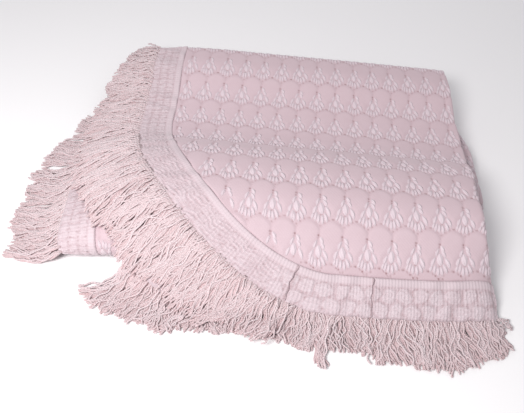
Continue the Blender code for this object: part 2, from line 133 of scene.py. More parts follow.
# Top face of the stack, from the back fold to the floor in front: how far back and how high
STATIONS = (
    (0.070, 0.0620), (0.045, 0.0620), (0.000, 0.0620), (-0.048, 0.0470), (-0.098, 0.0410),
    (-0.148, 0.0470), (-0.194, 0.0670), (-0.243, 0.0780), (-0.293, 0.0770), (-0.337, 0.0530),
    (-0.355, 0.0390), (-0.374, 0.0260), (-0.392, 0.0140), (-0.405, 0.0065), (-0.420, 0.0032),
    (-0.520, 0.0032),
)
FOOT_BACK = -0.355
BAND_FOOT_BACK = -0.410

# The stack settles towards its sides: places across, and the share of the height there
SETTLES = (
    (-0.440, 0.06), (-0.345, 0.22), (-0.300, 0.50), (-0.268, 0.70), (-0.236, 0.85),
    (-0.193, 0.96), (-0.140, 1.00), (-0.090, 1.00), (0.150, 1.00), (0.210, 0.99),
    (0.260, 0.93), (0.360, 0.80),
)

# Legs in the order of the cloth: the pair's place in the stack, where it runs, and how far
# the fold at its end reaches
Leg = namedtuple("Leg", "name pair start end reach")
LEGS = (
    Leg("top", 4, BAND_FOOT_BACK, 0.040, 0.0068),
    Leg("second", 3, 0.040, -0.286, 0.0360),
    Leg("floor", 0, -0.302, 0.036, 0.0068),
    Leg("low", 1, 0.036, -0.285, 0.0086),
    Leg("middle", 2, -0.285, 0.034, 0.0),
)

# The lengthwise fold opens towards the foot: from where to where along, how far it spreads and
# over what distance, and the share and width of its round side. Its foot edge is also drawn back
END_START = 0.050
END_FULL = -0.046
END_SPREAD = 0.0125
END_REACH = 0.050
END_DROP = 0.50
END_SIDE = 0.030
END_BACK = 0.015
END_BACK_START = 0.100

# The back fold, and the front fold of the lower stack, reach a little further than their path
BACK_REACH = 0.006
BACK_REACH_START = 0.008
FRONT_REACH = 0.006
FRONT_REACH_START = -0.285
FRONT_EDGE = -0.318

# Side edges of the cloth on each leg in millimetres: how far back, the left edge of each layer
# of the pair, and the fold at the right
EDGES = {
    "top": (
        (-410, -193, -199, 212), (-355, -193, -199, 212), (-293, -193, -198, 203),
        (-243, -193, -196, 203), (-194, -192, -195, 212), (-148, -191, -194, 219),
        (-98, -191, -194, 222), (-48, -192, -194, 219), (30, -194, -195, 215),
    ),
    "second": (
        (30, -193, -195, 216), (-40, -198, -203, 212), (-107, -212, -222, 198),
        (-200, -236, -252, 172), (-280, -234, -249, 172),
    ),
    "floor": ((-296, -228, -236, 184), (-140, -196, -200, 224), (26, -180, -182, 230)),
    "low": (
        (26, -180, -184, 226), (-45, -181, -185, 230), (-90, -182, -186, 242),
        (-190, -184, -188, 240), (-275, -200, -204, 220),
    ),
    "middle": (
        (-275, -204, -208, 212), (-180, -198, -201, 232), (-90, -194, -197, 241),
        (-45, -192, -195, 228), (34, -188, -190, 222),
    ),
}

# Stitches of one fan, in millimetres from the fan's middle: start and end across and towards
# the foot, half width, height, and how far the middle bends outward
Leaf = namedtuple("Leaf", "x0 y0 x1 y1 wide tall bend")
FAN = (
    Leaf(1.2, -20.0, 4.8, -11.0, 2.5, 1.35, 0.5),
    Leaf(1.6, -14.0, 6.4, -5.0, 2.4, 1.10, 0.4),
    Leaf(-1.6, -15.5, -5.4, -5.5, 2.3, 1.00, -0.4),
    Leaf(-0.4, -10.0, 0.2, 4.5, 4.2, 1.40, 0.0),
    Leaf(5.4, -5.0, 10.8, 8.0, 2.6, 1.45, 0.6),
    Leaf(3.4, 2.5, 7.4, 13.6, 2.5, 1.30, 0.3),
    Leaf(1.0, 5.0, 2.3, 16.0, 2.3, 1.25, 0.1),
    Leaf(-2.2, 5.0, -2.6, 16.0, 2.3, 1.20, 0.0),
    Leaf(-4.8, 2.8, -7.0, 14.0, 2.3, 1.05, -0.3),
    Leaf(-5.0, -5.0, -9.6, 6.0, 2.5, 1.10, -0.5),
    Leaf(-8.2, 4.0, -10.8, 12.0, 2.1, 1.00, -0.2),
)
FAN_COLUMNS = (-8, 26)
LEAF_PLACES = (0.0, 0.12, 0.32, 0.55, 0.76, 0.92, 1.0)
LEAF_RING = 5
LEAF_SINK = 0.25
LEAF_ENDS = (0.02, 0.98)
LEAF_BLUNT = 0.6
LEAF_LENGTH = 0.012
LEAF_STRAY = 0.0004
LEAF_SIZES = (0.88, 1.10)
LEAF_DEEPEST = -0.0004

# Tone of a stitch: the ground's, and the painted highlight that its height and its rounded middle
# add
LEAF_TONE, LEAF_TALL_HIGHLIGHT, LEAF_ROUND_HIGHLIGHT = 0.35, 0.32, 0.10

# Openings of one cell in millimetres: place across and towards the foot, radius and painted shade
OPENINGS = (
    (-1.2, -20.5, 1.1, 0.9), (-1.3, -17.0, 0.9, 0.7), (-1.4, -13.5, 0.8, 0.4),
    (2.9, -3.5, 0.8, 0.4), (-3.0, -3.0, 0.8, 0.3), (0.0, 5.4, 1.0, 0.6),
    (4.7, 15.6, 1.0, 0.6), (-4.9, 16.0, 1.0, 0.7), (-9.2, 13.6, 1.0, 0.6),
    (9.2, 11.6, 1.0, 0.5), (0.1, 18.6, 1.0, 0.5), (-13.2, 11.0, 1.1, 0.8),
    (13.3, 10.6, 0.9, 0.5),
)
OPENING_DEPTH = 0.8
DEEPEST = -0.9

# The scalloped line under each row, in millimetres as all the relief: its place at the fan's
# middle, its rise between fans, half its width and its depth
ARCH_AT = -28.0
ARCH_RISE = 10.5
ARCH_HALF_WIDTH = 0.9
ARCH_DEPTH = 0.17
ROWS = 8

# The dome between two fans: height, length of its start, where it ends, how much sooner at its
# sides, how that and its round side grow, and where it and the fan blend
DOME_TALL = 0.9
DOME_START = 4.5
DOME_END = 6.0
DOME_TAPER = 20.0
TAPER_POWER = 0.9
ROUND_POWER = 2.6
DOME_BLEND = (-9.0, 4.0)
FAN_BLEND = (-4.0, 5.0)
FAN_SINK = 0.10

# The valley at the top of a fan: half its width, where it ends and its depth
VALLEY_HALF = 0.9
VALLEY_END = -19.0
VALLEY_DEPTH = 0.3

# The dashes that end the pattern: from where to where across, pitch, how short and painted shade
DASHES = (-9.0, 4.0)
DASH_PITCH = 2.6
DASH_SHORT = -0.3
DASH_SHADE = 0.9

# Tone of the lace, and how much each part of its pattern changes it: painted highlight on the raised
# domes, painted shade in the valleys and scalloped lines, a little paler on the fans
LACE_TONE, DOME_HIGHLIGHT, VALLEY_SHADE, FAN_TONE, ARCH_SHADE = 0.60, 0.12, -0.10, 0.04, -0.04
PLAIN_TONE = 0.62

# Fringe locks of a trim, in millimetres and degrees: between two places, with their spacing at
# the band's outer edge, the lengths on plan and the turns from straight out of the first and the
# last ones, and how far the tips of the last ones sweep aside. A place is a layer with a leg, a
# fold or the foot edge, and where: back on a leg, across on the foot edge, or in thousandths of
# a fold
Fringe = namedtuple("Fringe", "start_on start end_on end pitch length_first length_last "
                    "turn_first turn_last sweep", defaults=(0,))

# Lengths of trim between two places, how long they are flat, whether their fringe lies on the
# stack or falls to the floor, and its stretches
Trim = namedtuple("Trim", "name start_on start end_on end flat_length rest fringes")
TRIMS = (
    Trim("left", "outer fold after top", 950, "outer foot", -10, 501, "stack", (
        Fringe("outer top", 46, "outer top", 0, 7.6, 52, 62, -62, -8),
        Fringe("outer top", 0, "outer top", -110, 7.6, 66, 81, -4, 0),
        Fringe("outer top", -110, "outer top", -195, 7.6, 88, 87, 2, 0),
        Fringe("outer top", -195, "outer top", -265, 5.6, 87, 86, 0, 0),
        Fringe("outer top", -265, "outer foot", -60, 7.6, 86, 72, 0, -8),
        Fringe("outer foot", -60, "outer foot", 1, 7.6, 62, 54, -8, -20),
    )),
    Trim("patch", "outer foot", -10, "outer foot", 77, 84, "floor", (
        Fringe("outer foot", -13, "outer foot", 75, 7.6, 48, 43, -16, 5),
        Fringe("outer foot", 28, "outer foot", 36, 7.6, 61, 61, 0, 0),
    )),
    Trim("right", "outer foot", 77, "inner foot", 150, 209, "floor", (
        Fringe("outer foot", 79, "outer foot", 160, 7.6, 49, 62, 6, 18),
        Fringe("outer foot", 160, "outer foot", 211, 7.6, 58, 42, 18, 33),
        Fringe("outer foot", 206, "inner foot", 200, 3.6, 24, 16, 60, 95),
    )),
    Trim("under", "inner foot", 150, "inner top", 20, 701, "floor", (
        Fringe("inner foot", -50, "inner foot", -121, 8, 33, 36, 0, 0),
        Fringe("inner foot", -121, "inner top", -352, 8, 38, 65, 0, 8, -16),
    )),
    Trim("lower", "inner top", 20, "inner fold after second", 880, 458, "floor", (
        Fringe("inner second", 20, "inner second", -50, 7.8, 46, 64, -8, -2),
        Fringe("inner second", -50, "inner second", -285, 7.8, 70, 74, -2, 0),
        Fringe("inner second", -285, "inner fold after second", 620, 7.8, 78, 64, 0, -4),
    )),
)


def stacked(*columns):
    return np.stack(columns, axis=-1)


def read_smooth(at, places, values):
    """Reads a table at the given places along a smooth curve through its rows."""
    places = np.asarray(places, float)
    values = np.asarray(values, float)
    order = np.argsort(places)
    places, values = places[order], values[order]
    slopes = np.gradient(values, places)
    at = np.clip(np.asarray(at, float), places[0], places[-1])
    row = np.clip(np.searchsorted(places, at, side="right") - 1, 0, len(places) - 2)
    step = places[row + 1] - places[row]
    u = (at - places[row]) / step
    start = (1 + 2 * u) * (1 - u) ** 2 * values[row] + u * (1 - u) ** 2 * step * slopes[row]
    end = u * u * (3 - 2 * u) * values[row + 1] + u * u * (u - 1) * step * slopes[row + 1]
    return start + end


def top_height(back):
    return read_smooth(back, *zip(*STATIONS))


def settle_share(across):
    return read_smooth(across, *zip(*SETTLES))


def smooth_step(low, high, value):
    u = np.clip((value - low) / (high - low), 0, 1)
    return u * u * (3 - 2 * u)


def read_pairs(at, places, rows):
    """Reads rows of two values each at the given places."""
    return stacked(*(np.interp(at, places, rows[:, k]) for k in (0, 1)))


def leg_heights(leg, back):
    """Height of the middle of a pair of layers, and half the distance between the two."""
    tops = top_height(back)
    pitch = (tops - SHEET) / (LAYERS - 1)
    if leg.name == "top":
        half_gap = np.maximum(pitch / 2, LEAST_HALF_GAP)
        return tops - SHEET / 2 - half_gap, half_gap
    return SHEET / 2 + pitch * (2 * leg.pair + 0.5), pitch / 2


def distances(line):
    """The distance of each point of a line from its first one, along it."""
    return np.concatenate([[0.0], np.cumsum(np.linalg.norm(np.diff(line, axis=0), axis=1))])


class FoldedPath:
    """The back-and-forth section of the cloth, read by the distance from its foot edge."""

    def __init__(self):
        self.spans = {}
        parts = np.zeros((3, 0))
        for leg, after in zip(LEGS, LEGS[1:] + (None,)):
            steps = math.ceil(abs(leg.end - leg.start) / PATH_STEP)
            back = np.linspace(leg.start, leg.end, steps)
            height, gap = leg_heights(leg, back)
            parts = self.longer(leg.name, parts, (back, height, gap))
            if after is None:
                continue
            next_height, next_gap = leg_heights(after, np.array([after.start]))
            middle = (height[-1] + next_height[0]) / 2
            half = (height[-1] - next_height[0]) / 2
            way = math.copysign(leg.reach, leg.end - leg.start)
            steps = max(LEAST_FOLD_STEPS, math.ceil(math.pi * abs(half) / PATH_STEP))
            angle = np.linspace(0, math.pi, steps + 2)[1:-1]
            shift = (after.start - leg.end) * angle / math.pi
            parts = self.longer("fold after " + leg.name, parts, (
                leg.end + shift + way * np.sin(angle), middle + half * np.cos(angle),
                gap[-1] + (next_gap[0] - gap[-1]) * angle / math.pi))
        self.back, height, gap = parts
        self.along = distances(parts[:2].T)
        self.along -= self.at("top", FOOT_BACK)
        way_back, way_up = np.gradient(self.back, self.along), np.gradient(height, self.along)
        size = np.hypot(way_back, way_up)
        self.read = (self.back, height, gap, -way_up / size, way_back / size)
        rows = [(self.at(leg, back / MM), *sides) for leg in EDGES for back, *sides in EDGES[leg]]
        places, *sides = np.array(rows).T
        names = ("outer", "inner", "right")
        self.sides = {name: (places, side / MM) for name, side in zip(names, sides)}

    def longer(self, name, parts, more):
        self.spans[name] = (parts.shape[1], parts.shape[1] + len(more[0]))
        return np.concatenate([parts, more], axis=1)

    def at(self, name, where):
        """Distance from the foot edge of a place on a leg, or of a share of a fold."""
        first, last = self.spans[name]
        backs, along = self.back[first:last], self.along[first:last]
        if name.startswith("fold"):
            return float(along[0] + (along[-1] - along[0]) * where)
        if backs[0] > backs[-1]:
            backs, along = backs[::-1], along[::-1]
        return float(np.interp(where, backs, along))

    def side(self, which, along):
        return read_smooth(along, *self.sides[which])

    def section(self, along):
        """How far back and how high the path is, half its pair's gap, and its normal."""
        return [np.interp(along, self.along, values) for values in self.read]

    def rows_along(self):
        """The rows of the mesh: even steps along each leg, and finer ones round each fold."""
        rows = []
        for name, (first, last) in self.spans.items():
            start, end = max(self.along[first], 0.0), self.along[last - 1]
            if name.startswith("fold"):
                steps = BIG_FOLD_ROWS if end - start > BIG_FOLD else SMALL_FOLD_ROWS
                rows.extend(np.linspace(start, end, steps + 2)[1:-1])
            else:
                rows.extend(np.linspace(start, end, round((end - start) / ROW_STEP) + 1))
        return rows


PATH = FoldedPath()


def place(across, along, lift):
    """Puts points of the opened cloth on the folded one.

    across runs from the middle of the lengthwise fold, negative on the layer that lies on top,
    and along runs from the foot edge. lift is the height over the cloth's middle.
    """
    across, along, lift = np.broadcast_arrays(across, along, lift)
    back, height, gap, normal_back, normal_up = PATH.section(along)
    turn = math.pi * np.clip((across + FOLD_HALF) / (2 * FOLD_HALF), 0, 1)
    away = np.maximum(np.abs(across) - FOLD_HALF, 0)
    foot = smooth_step(END_START, END_FULL, along)
    x = PATH.side("right", along) - away + (gap + lift) * np.sin(turn)
    x = x + END_SPREAD * foot * np.exp(-away / END_REACH)
    off = (gap + lift) * np.cos(turn)
    drawn = smooth_step(END_BACK_START, 0.0, along) * np.exp(-away / END_REACH)
    y = back + normal_back * off + END_BACK * drawn
    y = y + BACK_REACH * smooth_step(BACK_REACH_START, BACK_EDGE, y)
    lower = along > PATH.at("second", 0.0)
    y = y - FRONT_REACH * lower * smooth_step(FRONT_REACH_START, FRONT_EDGE, y)
    z = (height + normal_up * off) * settle_share(x)
    round_side = 1 - np.sqrt(1 - np.clip(1 - away / END_SIDE, 0, 1) ** 2)
    z = z * (1 - END_DROP * foot * round_side)
    z = np.maximum(z, 0.0)
    return stacked(x - MIDDLE[0], y - MIDDLE[1], z)


def across_of(layer, x, along):
    """The opened cloth's across value of a place x on one layer."""
    sign = -1 if layer == "outer" else 1
    return sign * (PATH.side("right", along) - x + FOLD_HALF)


def left_edge(layer, along):
    along = np.asarray(along, float)
    return stacked(across_of(layer, PATH.side(layer, along), along), along)


def foot_corner(layer):
    """The rounded corner from the left edge to the foot edge."""
    reach, rise = CORNERS[layer]
    angle = np.linspace(0, math.pi / 2, CORNER_POINTS)
    power = 2 / CORNER_POWER
    along = rise * (1 - np.sin(angle) ** power)
    x = PATH.side(layer, along) + reach * (1 - np.abs(np.cos(angle)) ** power)
    return stacked(across_of(layer, x, along), along)


def foot_edge(layer, xs):
    xs = np.asarray(xs, float)
    return stacked(across_of(layer, xs, 0.0), np.zeros(len(xs)))


def whole_edge():
    """The cloth's edge from the head of the top layer, round the foot, to the head again."""
    right = float(PATH.side("right", 0.0))
    end = PATH.rows_along()[-1]
    halves = []
    for layer, (reach, rise) in CORNERS.items():
        start = float(PATH.side(layer, 0.0)) + reach
        halves.append(np.concatenate([
            left_edge(layer, np.linspace(end, rise, round((end - rise) / FINE_STEP)))[:-1],
            foot_corner(layer),
            foot_edge(layer, np.linspace(start, right, round((right - start) / FINE_STEP)))[1:-1],
        ]))
    turn = np.linspace(-FOLD_HALF, FOLD_HALF, round(2 * FOLD_HALF / FINE_STEP) + 1)
    middle = stacked(turn, np.zeros(len(turn)))
    return np.concatenate([halves[0], middle, halves[1][::-1]])


class ClothEdge:
    """The cloth's edge as a fine line, with the way outward from it."""

    def __init__(self):
        self.line = whole_edge()
        self.s = distances(self.line)
        self.fine = np.arange(0.0, self.s[-1], FINE_STEP)
        way = np.gradient(self.flat(self.fine), axis=0)
        blur = np.ones(OUTWARD_BLUR) / OUTWARD_BLUR
        way = stacked(*(np.convolve(way[:, k], blur, mode="same") for k in (0, 1)))
        way /= np.linalg.norm(way, axis=1)[:, None]
        self.outward = stacked(way[:, 1], -way[:, 0])

    def flat(self, s):
        return read_pairs(s, self.s, self.line)

    def put(self, s, out, lift):
        """Points at a distance outward from the edge, raised over the cloth's middle."""
        s, out = np.broadcast_arrays(s, out)
        flat = self.flat(s) + read_pairs(s, self.fine, self.outward) * out[..., None]
        return place(flat[..., 0], flat[..., 1], lift)

    def ends(self, stretch):
        """The distances along the edge between which a trim or its fringe runs."""
        return sorted((self.mark(stretch.start_on, stretch.start),
                       self.mark(stretch.end_on, stretch.end)))

    def mark(self, name, where):
        """The distance along the edge of a place, given as the tables above say."""
        layer, part = name.split(" ", 1)
        if part == "foot":
            target = foot_edge(layer, [where / MM])[0]
        else:
            target = left_edge(layer, [PATH.at(part, where / MM)])[0]
        return float(self.s[np.argmin(np.linalg.norm(self.line - target, axis=1))])


EDGE = ClothEdge()


def line_edges(points, start):
    """Pairs of neighbours on each row of points from a start number on, none across the fold."""
    lines = {}
    for number in range(start, len(points)):
        across, along = points[number]
        lines.setdefault((round(along, 6), across > 0), []).append((across, number))
    return [(first, second) for line in map(sorted, lines.values())
            for (low, first), (high, second) in zip(line, line[1:]) if high - low < WIDEST_COLUMN]


def triangles(outline, inside, coarse):
    """Triangles of a flat outline with points inside, the last coarse of them on rows."""
    points = [tuple(p) for p in outline] + [tuple(p) for p in inside]
    loop = list(range(len(outline)))
    lines = line_edges(points, len(points) - coarse)
    found = delaunay_2d_cdt(points, lines, [loop], 1, MERGE_STEP)
    number = [sorted(ids)[0] for ids in found[3]]
    return np.array([[number[i] for i in face] for face in found[2]])


def left_limit(layer, along):
    """The place x of the cloth's left edge on one layer, its rounded foot corner included."""
    reach, rise = CORNERS[layer]
    power = 2 / CORNER_POWER
    sine = np.clip(1 - along / rise, 0, 1) ** (1 / power)
    cosine = np.sqrt(1 - sine ** 2)
    return PATH.side(layer, along) + reach * (1 - cosine ** power)


def on_cloth(across, along, least):
    """Whether points of the opened cloth lie on it, about a least distance from its edge."""
    x = PATH.side("right", along) + FOLD_HALF - np.abs(across)
    limit = np.full(np.shape(x), -np.inf)
    for shift in (0.0, -least):
        outer, inner = (left_limit(layer, along + shift) for layer in CORNERS)
        limit = np.maximum(limit, np.where(across < 0, outer, inner))
    inside = (x > limit + least) | (np.abs(across) < FOLD_HALF)
    return inside & (along > least) & (along < PATH.along[-1] - least)


def clear_of_edge(points, least):
    return points[on_cloth(points[:, 0], points[:, 1], least)]


def pattern_sway(x, along):
    """How far the hand-worked pattern strays from its even columns."""
    return sum(size * np.sin(along * down + x * aside) for size, down, aside in PATTERN_SWAYS)


def lace_relief(x, foot):
    """Height over the ground, tone with painted highlight and shade, and painted shade in openings
    of the lace.

    x is across from a fan's column and foot towards the foot edge from a row's middle, all in
    millimetres.
    """
    pitch, rows = FAN_PITCH * MM, ROW_PITCH * MM
    half = pitch / 2
    x = (x + half) % pitch - half
    base = ARCH_AT - ARCH_RISE * (1 - (1 - np.abs(x) / half) ** 2)
    row = np.floor((foot - base) / rows)
    y = foot - row * rows
    aside = (half - np.abs(x)) / half
    below = y - base
    end = DOME_END - DOME_TAPER * aside ** TAPER_POWER
    round_side = np.sqrt(np.clip(1 - aside ** ROUND_POWER, 0, 1))
    dome = round_side * smooth_step(0.0, DOME_START, below) * (1 - smooth_step(*DOME_BLEND, y - end))
    fan = smooth_step(*FAN_BLEND, y - end)
    arch = np.exp(-(np.minimum(below, rows - below) / ARCH_HALF_WIDTH) ** 2)
    valley = np.exp(-(x / VALLEY_HALF) ** 2) * (y < VALLEY_END)
    patterned = row < ROWS
    height = (DOME_TALL * dome - VALLEY_DEPTH * valley) * patterned
    height = height - FAN_SINK * fan - ARCH_DEPTH * arch
    # Painted highlight on the raised domes, painted shade in the valleys and scalloped lines
    tone = LACE_TONE + (DOME_HIGHLIGHT * dome + VALLEY_SHADE * valley) * patterned
    tone = tone + FAN_TONE * fan + ARCH_SHADE * arch
    # Dashes and openings get painted shade, standing in for the shaded layer seen through them
    dashes = (DASHES[0] < x) * (x < DASHES[1]) * (np.cos(TURN * x / DASH_PITCH) > DASH_SHORT)
    opened = DASH_SHADE * dashes * np.exp(-below ** 2) * (row == ROWS)
    for spot_x, spot_y, radius, dark in OPENINGS:
        near = np.exp(-(np.hypot(x - spot_x, y - spot_y) / radius) ** 2)
        height = height - OPENING_DEPTH * dark * near
        opened = np.maximum(opened, dark * near)
    return np.maximum(height, DEEPEST), np.clip(tone, 0, 1), opened


def relief_at(across, along):
    """The lace relief at points of the opened cloth: height in metres, tone, and painted shade in
    openings.
    """
    x = PATH.side("right", along) + FOLD_HALF + across
    shift = x - FAN_OFFSET + pattern_sway(x, along)
    height, tone, opened = lace_relief(shift * MM, (PATH.at("top", 0.0) - along) * MM)
    return height / MM, tone, opened


def shown(across, along):
    """2 where the lace lies open to view, 1 where it shows on a fold, and 0 elsewhere."""
    end = PATH.at("fold after top", LACE_END_SHARE)
    top = (across < FOLD_STRIP) & (along < end)
    strip = np.abs(across) < FOLD_STRIP
    folds = np.zeros(np.shape(across), bool)
    for name in ("fold after second", "fold after floor"):
        folds |= (along > PATH.at(name, 0.0)) & (along < PATH.at(name, 1.0))
    x = PATH.side("right", along) + FOLD_HALF - across
    second = (along > PATH.at("second", 0.0)) & (along < PATH.at("second", LEGS[1].end))
    folds |= second & (x < SECOND_SHOWN)
    return np.where(top, 2, np.where(strip | (folds & (across > 0)), 1, 0))


def lace_grid(step, level):
    """Points of the lace face, staggered from row to row, as (across, along, relief)."""
    far = float(PATH.side("right", 0.0) - PATH.side("outer", 0.0)) + GRID_BEYOND
    across, along = np.meshgrid(np.arange(-far, far, step),
                                np.arange(LACE_CLEAR, PATH.along[-1] - LACE_CLEAR, step))
    across, along = across.ravel(), along.ravel()
    across = across + GRID_STAGGER * step * (np.round(along / step) % 2)
    kept = shown(across, along) == level
    across, along = across[kept], along[kept]
    return stacked(across, along, *relief_at(across, along))


def columns(row):
    """Across values of a row of plain points: the two layers, and the fold between them."""
    found = list(np.linspace(-FOLD_HALF, FOLD_HALF, FOLD_STEPS + 1))
    for layer, sign in (("outer", -1), ("inner", 1)):
        width = float(PATH.side("right", row) - PATH.side(layer, row))
        found.extend(sign * (FOLD_HALF + share * width) for share in COLUMN_SHARES)
    return sorted(found)


def plain_points(spots):
    """Points with no relief and no opening, in the plain tone."""
    spots = np.array(spots)
    more = np.zeros((len(spots), 3))
    more[:, 1] = PLAIN_TONE
    return np.concatenate([spots, more], axis=1)


def closed_sheet(name, outline, over, under, coarse, thickness, put):
    """A closed thin mesh: an upper and a lower skin with one outline, and a rim between them.

    over and under are inner points as (first, second, raise, tone, opened), the last coarse of
    each on rows.
    """
    edge = plain_points(outline)
    skins, faces, flats = [], [], []
    start = 0
    for inner, side, lines in ((over, 1, coarse[0]), (under, -1, coarse[1])):
        flat = np.concatenate([edge, inner])
        skins.append(put(flat[:, 0], flat[:, 1], side * thickness / 2 + flat[:, 2]))
        found = triangles(outline, inner[:, :2], lines)
        faces.append((found if side > 0 else found[:, ::-1]) + start)
        flats.append(flat)
        start += len(flat)
    around = np.arange(len(outline))
    after = np.roll(around, -1)
    below = len(flats[0])
    rim = in_triangles(stacked(after, around, around + below, after + below))
    return mesh_object(name, np.concatenate(skins), np.concatenate(faces + [rim]),
                       np.concatenate(flats))


def flat_places(first, second, tone):
    """Flat places and tones of points with no opening."""
    first, second, tone = np.broadcast_arrays(first, second, np.clip(tone, 0, 1))
    none = np.zeros(tone.shape)
    return stacked(first, second, none, tone, none)


def grid_faces(rows, count, around):
    """Triangles between rows of count points, each closed round if around is 1."""
    first = np.arange(count - 1 + around)
    second = (first + 1) % count
    step = np.arange(rows - 1)[:, None] * count
    quads = [step + first, step + second, step + count + second, step + count + first]
    return in_triangles(np.stack(quads, axis=-1).reshape(-1, 4))


def in_triangles(quads):
    return np.concatenate([quads[:, [0, 1, 2]], quads[:, [0, 2, 3]]])


def repeated(faces, count, size):
    """The faces of one shape of size points for count such shapes, one after another."""
    return (faces[None] + (np.arange(count) * size)[:, None, None]).reshape(-1, 3)


def mesh_object(name, points, faces, flat):
    """A smooth mesh with its flat place in metres as a UV map, its tone, and its painted shade in
    openings.
    """
    mesh = bpy.data.meshes.new(name)
    mesh.vertices.add(len(points))
    mesh.vertices.foreach_set("co", np.asarray(points, np.float32).ravel())
    mesh.loops.add(faces.size)
    mesh.loops.foreach_set("vertex_index", faces.astype(np.int32).ravel())
    mesh.polygons.add(len(faces))
    starts = np.arange(0, faces.size, faces.shape[1], dtype=np.int32)
    mesh.polygons.foreach_set("loop_start", starts)
    mesh.update(calc_edges=True)
    uv = mesh.uv_layers.new(name="flat")
    uv.data.foreach_set("uv", flat[faces.ravel(), :2].astype(np.float32).ravel())
    for title, column in (("tone", 3), ("opened", 4)):
        layer = mesh.attributes.new(title, "FLOAT", "POINT")
        layer.data.foreach_set("value", flat[:, column].astype(np.float32))
    mesh.polygons.foreach_set("use_smooth", np.ones(len(faces), bool))
    mesh.validate()
    return linked(name, mesh)


def lace_outline():
    """The lace's edge, fine as far as the hidden join at the right, and its head edge."""
    row = PATH.rows_along()[-1]
    head = [(across, row) for across in reversed(columns(row))]
    stops = np.arange(0.0, EDGE.s[-1], FINE_GRID)
    fine_end = EDGE.mark(*FINE_EDGE_END)
    coarse = (stops > fine_end) & (np.arange(len(stops)) % COARSE_EVERY != 0)
    return np.concatenate([EDGE.flat(stops[~coarse]), EDGE.flat(EDGE.s[-1:]), head])


def make_lace():
    rows = PATH.rows_along()
    hidden = np.array([(across, row) for row in rows[1:-1] for across in columns(row)])
    near = np.zeros(len(hidden), int)
    for shift in ((0, 0), (LEAST_CLEAR, 0), (-LEAST_CLEAR, 0), (0, LEAST_CLEAR), (0, -LEAST_CLEAR)):
        near |= shown(hidden[:, 0] + shift[0], hidden[:, 1] + shift[1])
    over = clear_of_edge(plain_points(hidden[near == 0]), LEAST_CLEAR)
    under = clear_of_edge(plain_points(hidden), LEAST_CLEAR)
    fine = clear_of_edge(lace_grid(FINE_GRID, 2), LACE_CLEAR)
    medium = clear_of_edge(lace_grid(MEDIUM_GRID, 1), LACE_CLEAR)
    return closed_sheet("lace_fabric", lace_outline(), np.concatenate([fine, medium, over]),
                        under, (len(over), len(under)), SHEET, place)


def leaf_points(leaf):
    """Points of one raised stitch: across and towards the foot in millimetres, and lift."""
    u = np.array(LEAF_PLACES)[:, None]
    angle = np.linspace(0, math.pi, LEAF_RING)[None, :]
    way = np.array([leaf.x1 - leaf.x0, leaf.y1 - leaf.y0])
    way = way / np.hypot(*way)
    full = np.sin(math.pi * np.clip(u, *LEAF_ENDS)) ** LEAF_BLUNT
    aside = leaf.wide * full * np.cos(angle) + leaf.bend * np.sin(math.pi * u)
    x = leaf.x0 + (leaf.x1 - leaf.x0) * u + way[1] * aside
    y = leaf.y0 + (leaf.y1 - leaf.y0) * u - way[0] * aside
    lift = (leaf.tall + LEAF_SINK) * full * np.sin(angle) - LEAF_SINK
    return x, y, lift


def make_stitches(chance):
    """The raised stitches of all fans that show, as one mesh."""
    start = PATH.at("top", 0.0)
    first_row = -math.ceil((PATH.along[-1] - start) / ROW_PITCH)
    fans = np.array([(column, row) for row in range(first_row, ROWS + 1)
                     for column in range(*FAN_COLUMNS)])
    ring = np.sin(np.linspace(0, math.pi, LEAF_RING))
    points, flats = [], []
    for leaf in FAN:
        x, y, lift = leaf_points(leaf)
        size = chance.uniform(*LEAF_SIZES, (len(fans), 1, 1))
        stray = chance.normal(0, LEAF_STRAY, (2, len(fans), 1, 1))
        along = start - fans[:, 1, None, None] * ROW_PITCH - y[None] / MM + stray[0]
        across = FAN_OFFSET + fans[:, 0, None, None] * FAN_PITCH + x[None] / MM + stray[1]
        across = across - pattern_sway(across, along)
        across = across - PATH.side("right", along) - FOLD_HALF
        kept = on_cloth(across, along, PART_GAP).all(axis=(1, 2))
        kept &= shown(across.mean(axis=(1, 2)), along.mean(axis=(1, 2))) > 0
        across, along, size = across[kept], along[kept], size[kept]
        height = np.maximum(relief_at(across, along)[0], LEAF_DEEPEST)
        points.append(place(across, along, SHEET / 2 + height + lift[None] * size / MM))
        # Painted highlight: taller stitches and their rounded middles are paler
        tone = LEAF_TONE + LEAF_TALL_HIGHLIGHT * leaf.tall * size + LEAF_ROUND_HIGHLIGHT * ring
        flats.append(flat_places(np.array(LEAF_PLACES)[:, None] * LEAF_LENGTH,
                                 np.linspace(0, 1, LEAF_RING), tone))
    points, flats = np.concatenate(points), np.concatenate(flats)
    count = len(LEAF_PLACES)
    faces = grid_faces(count, LEAF_RING, 0)[:, ::-1]
    faces = repeated(faces, len(points), count * LEAF_RING)
    return mesh_object("lace_stitches", points.reshape(-1, 3), faces, flats.reshape(-1, 5))


# Across the band, in millimetres from the cloth: the cord, the two rows of round puffs on the
# front, and the three rows of square ones on the sides, with the powers of their outlines
CORD_END = 9.5
ROUND_ROWS = (19.0, 36.4)
ROUND_HALF = 8.9
ROUND_SHAPE = 2.2
SQUARE_ROWS = (15.2, 26.8, 39.0)
SQUARE_HALF = (4.6, 5.9)
SQUARE_SHAPE = 3.0
RING_PITCH = 3.2
SCALLOP = 1.2

# How soft the lines round the puffs and the seam beside the cord are, the dots on the lines,
# and how much of its puffs the slack band loses
ROUND_LINE, SQUARE_LINE, SEAM_HALF = 0.12, 0.16, 0.7
# The dots on the lines are painted shade seen through small gaps
DOT_PITCH, DOT_SHORT, DOT_SHADE = 5.4, 0.55, 0.24
SLACK_LOSS = 0.75

# Where the square puffs of the sides end and begin again, and the slack band begins and ends,
# each with the length of edge in metres over which it changes
SQUARES_END, SQUARES_END_LENGTH = ("outer top", -150), 0.16
SQUARES_START, SQUARES_START_LENGTH = ("inner top", -300), 0.05
SLACK_START, SLACK_START_LENGTH = ("outer top", -130), 0.05
SLACK_END, SLACK_END_LENGTH = ("outer foot", -10), 0.03

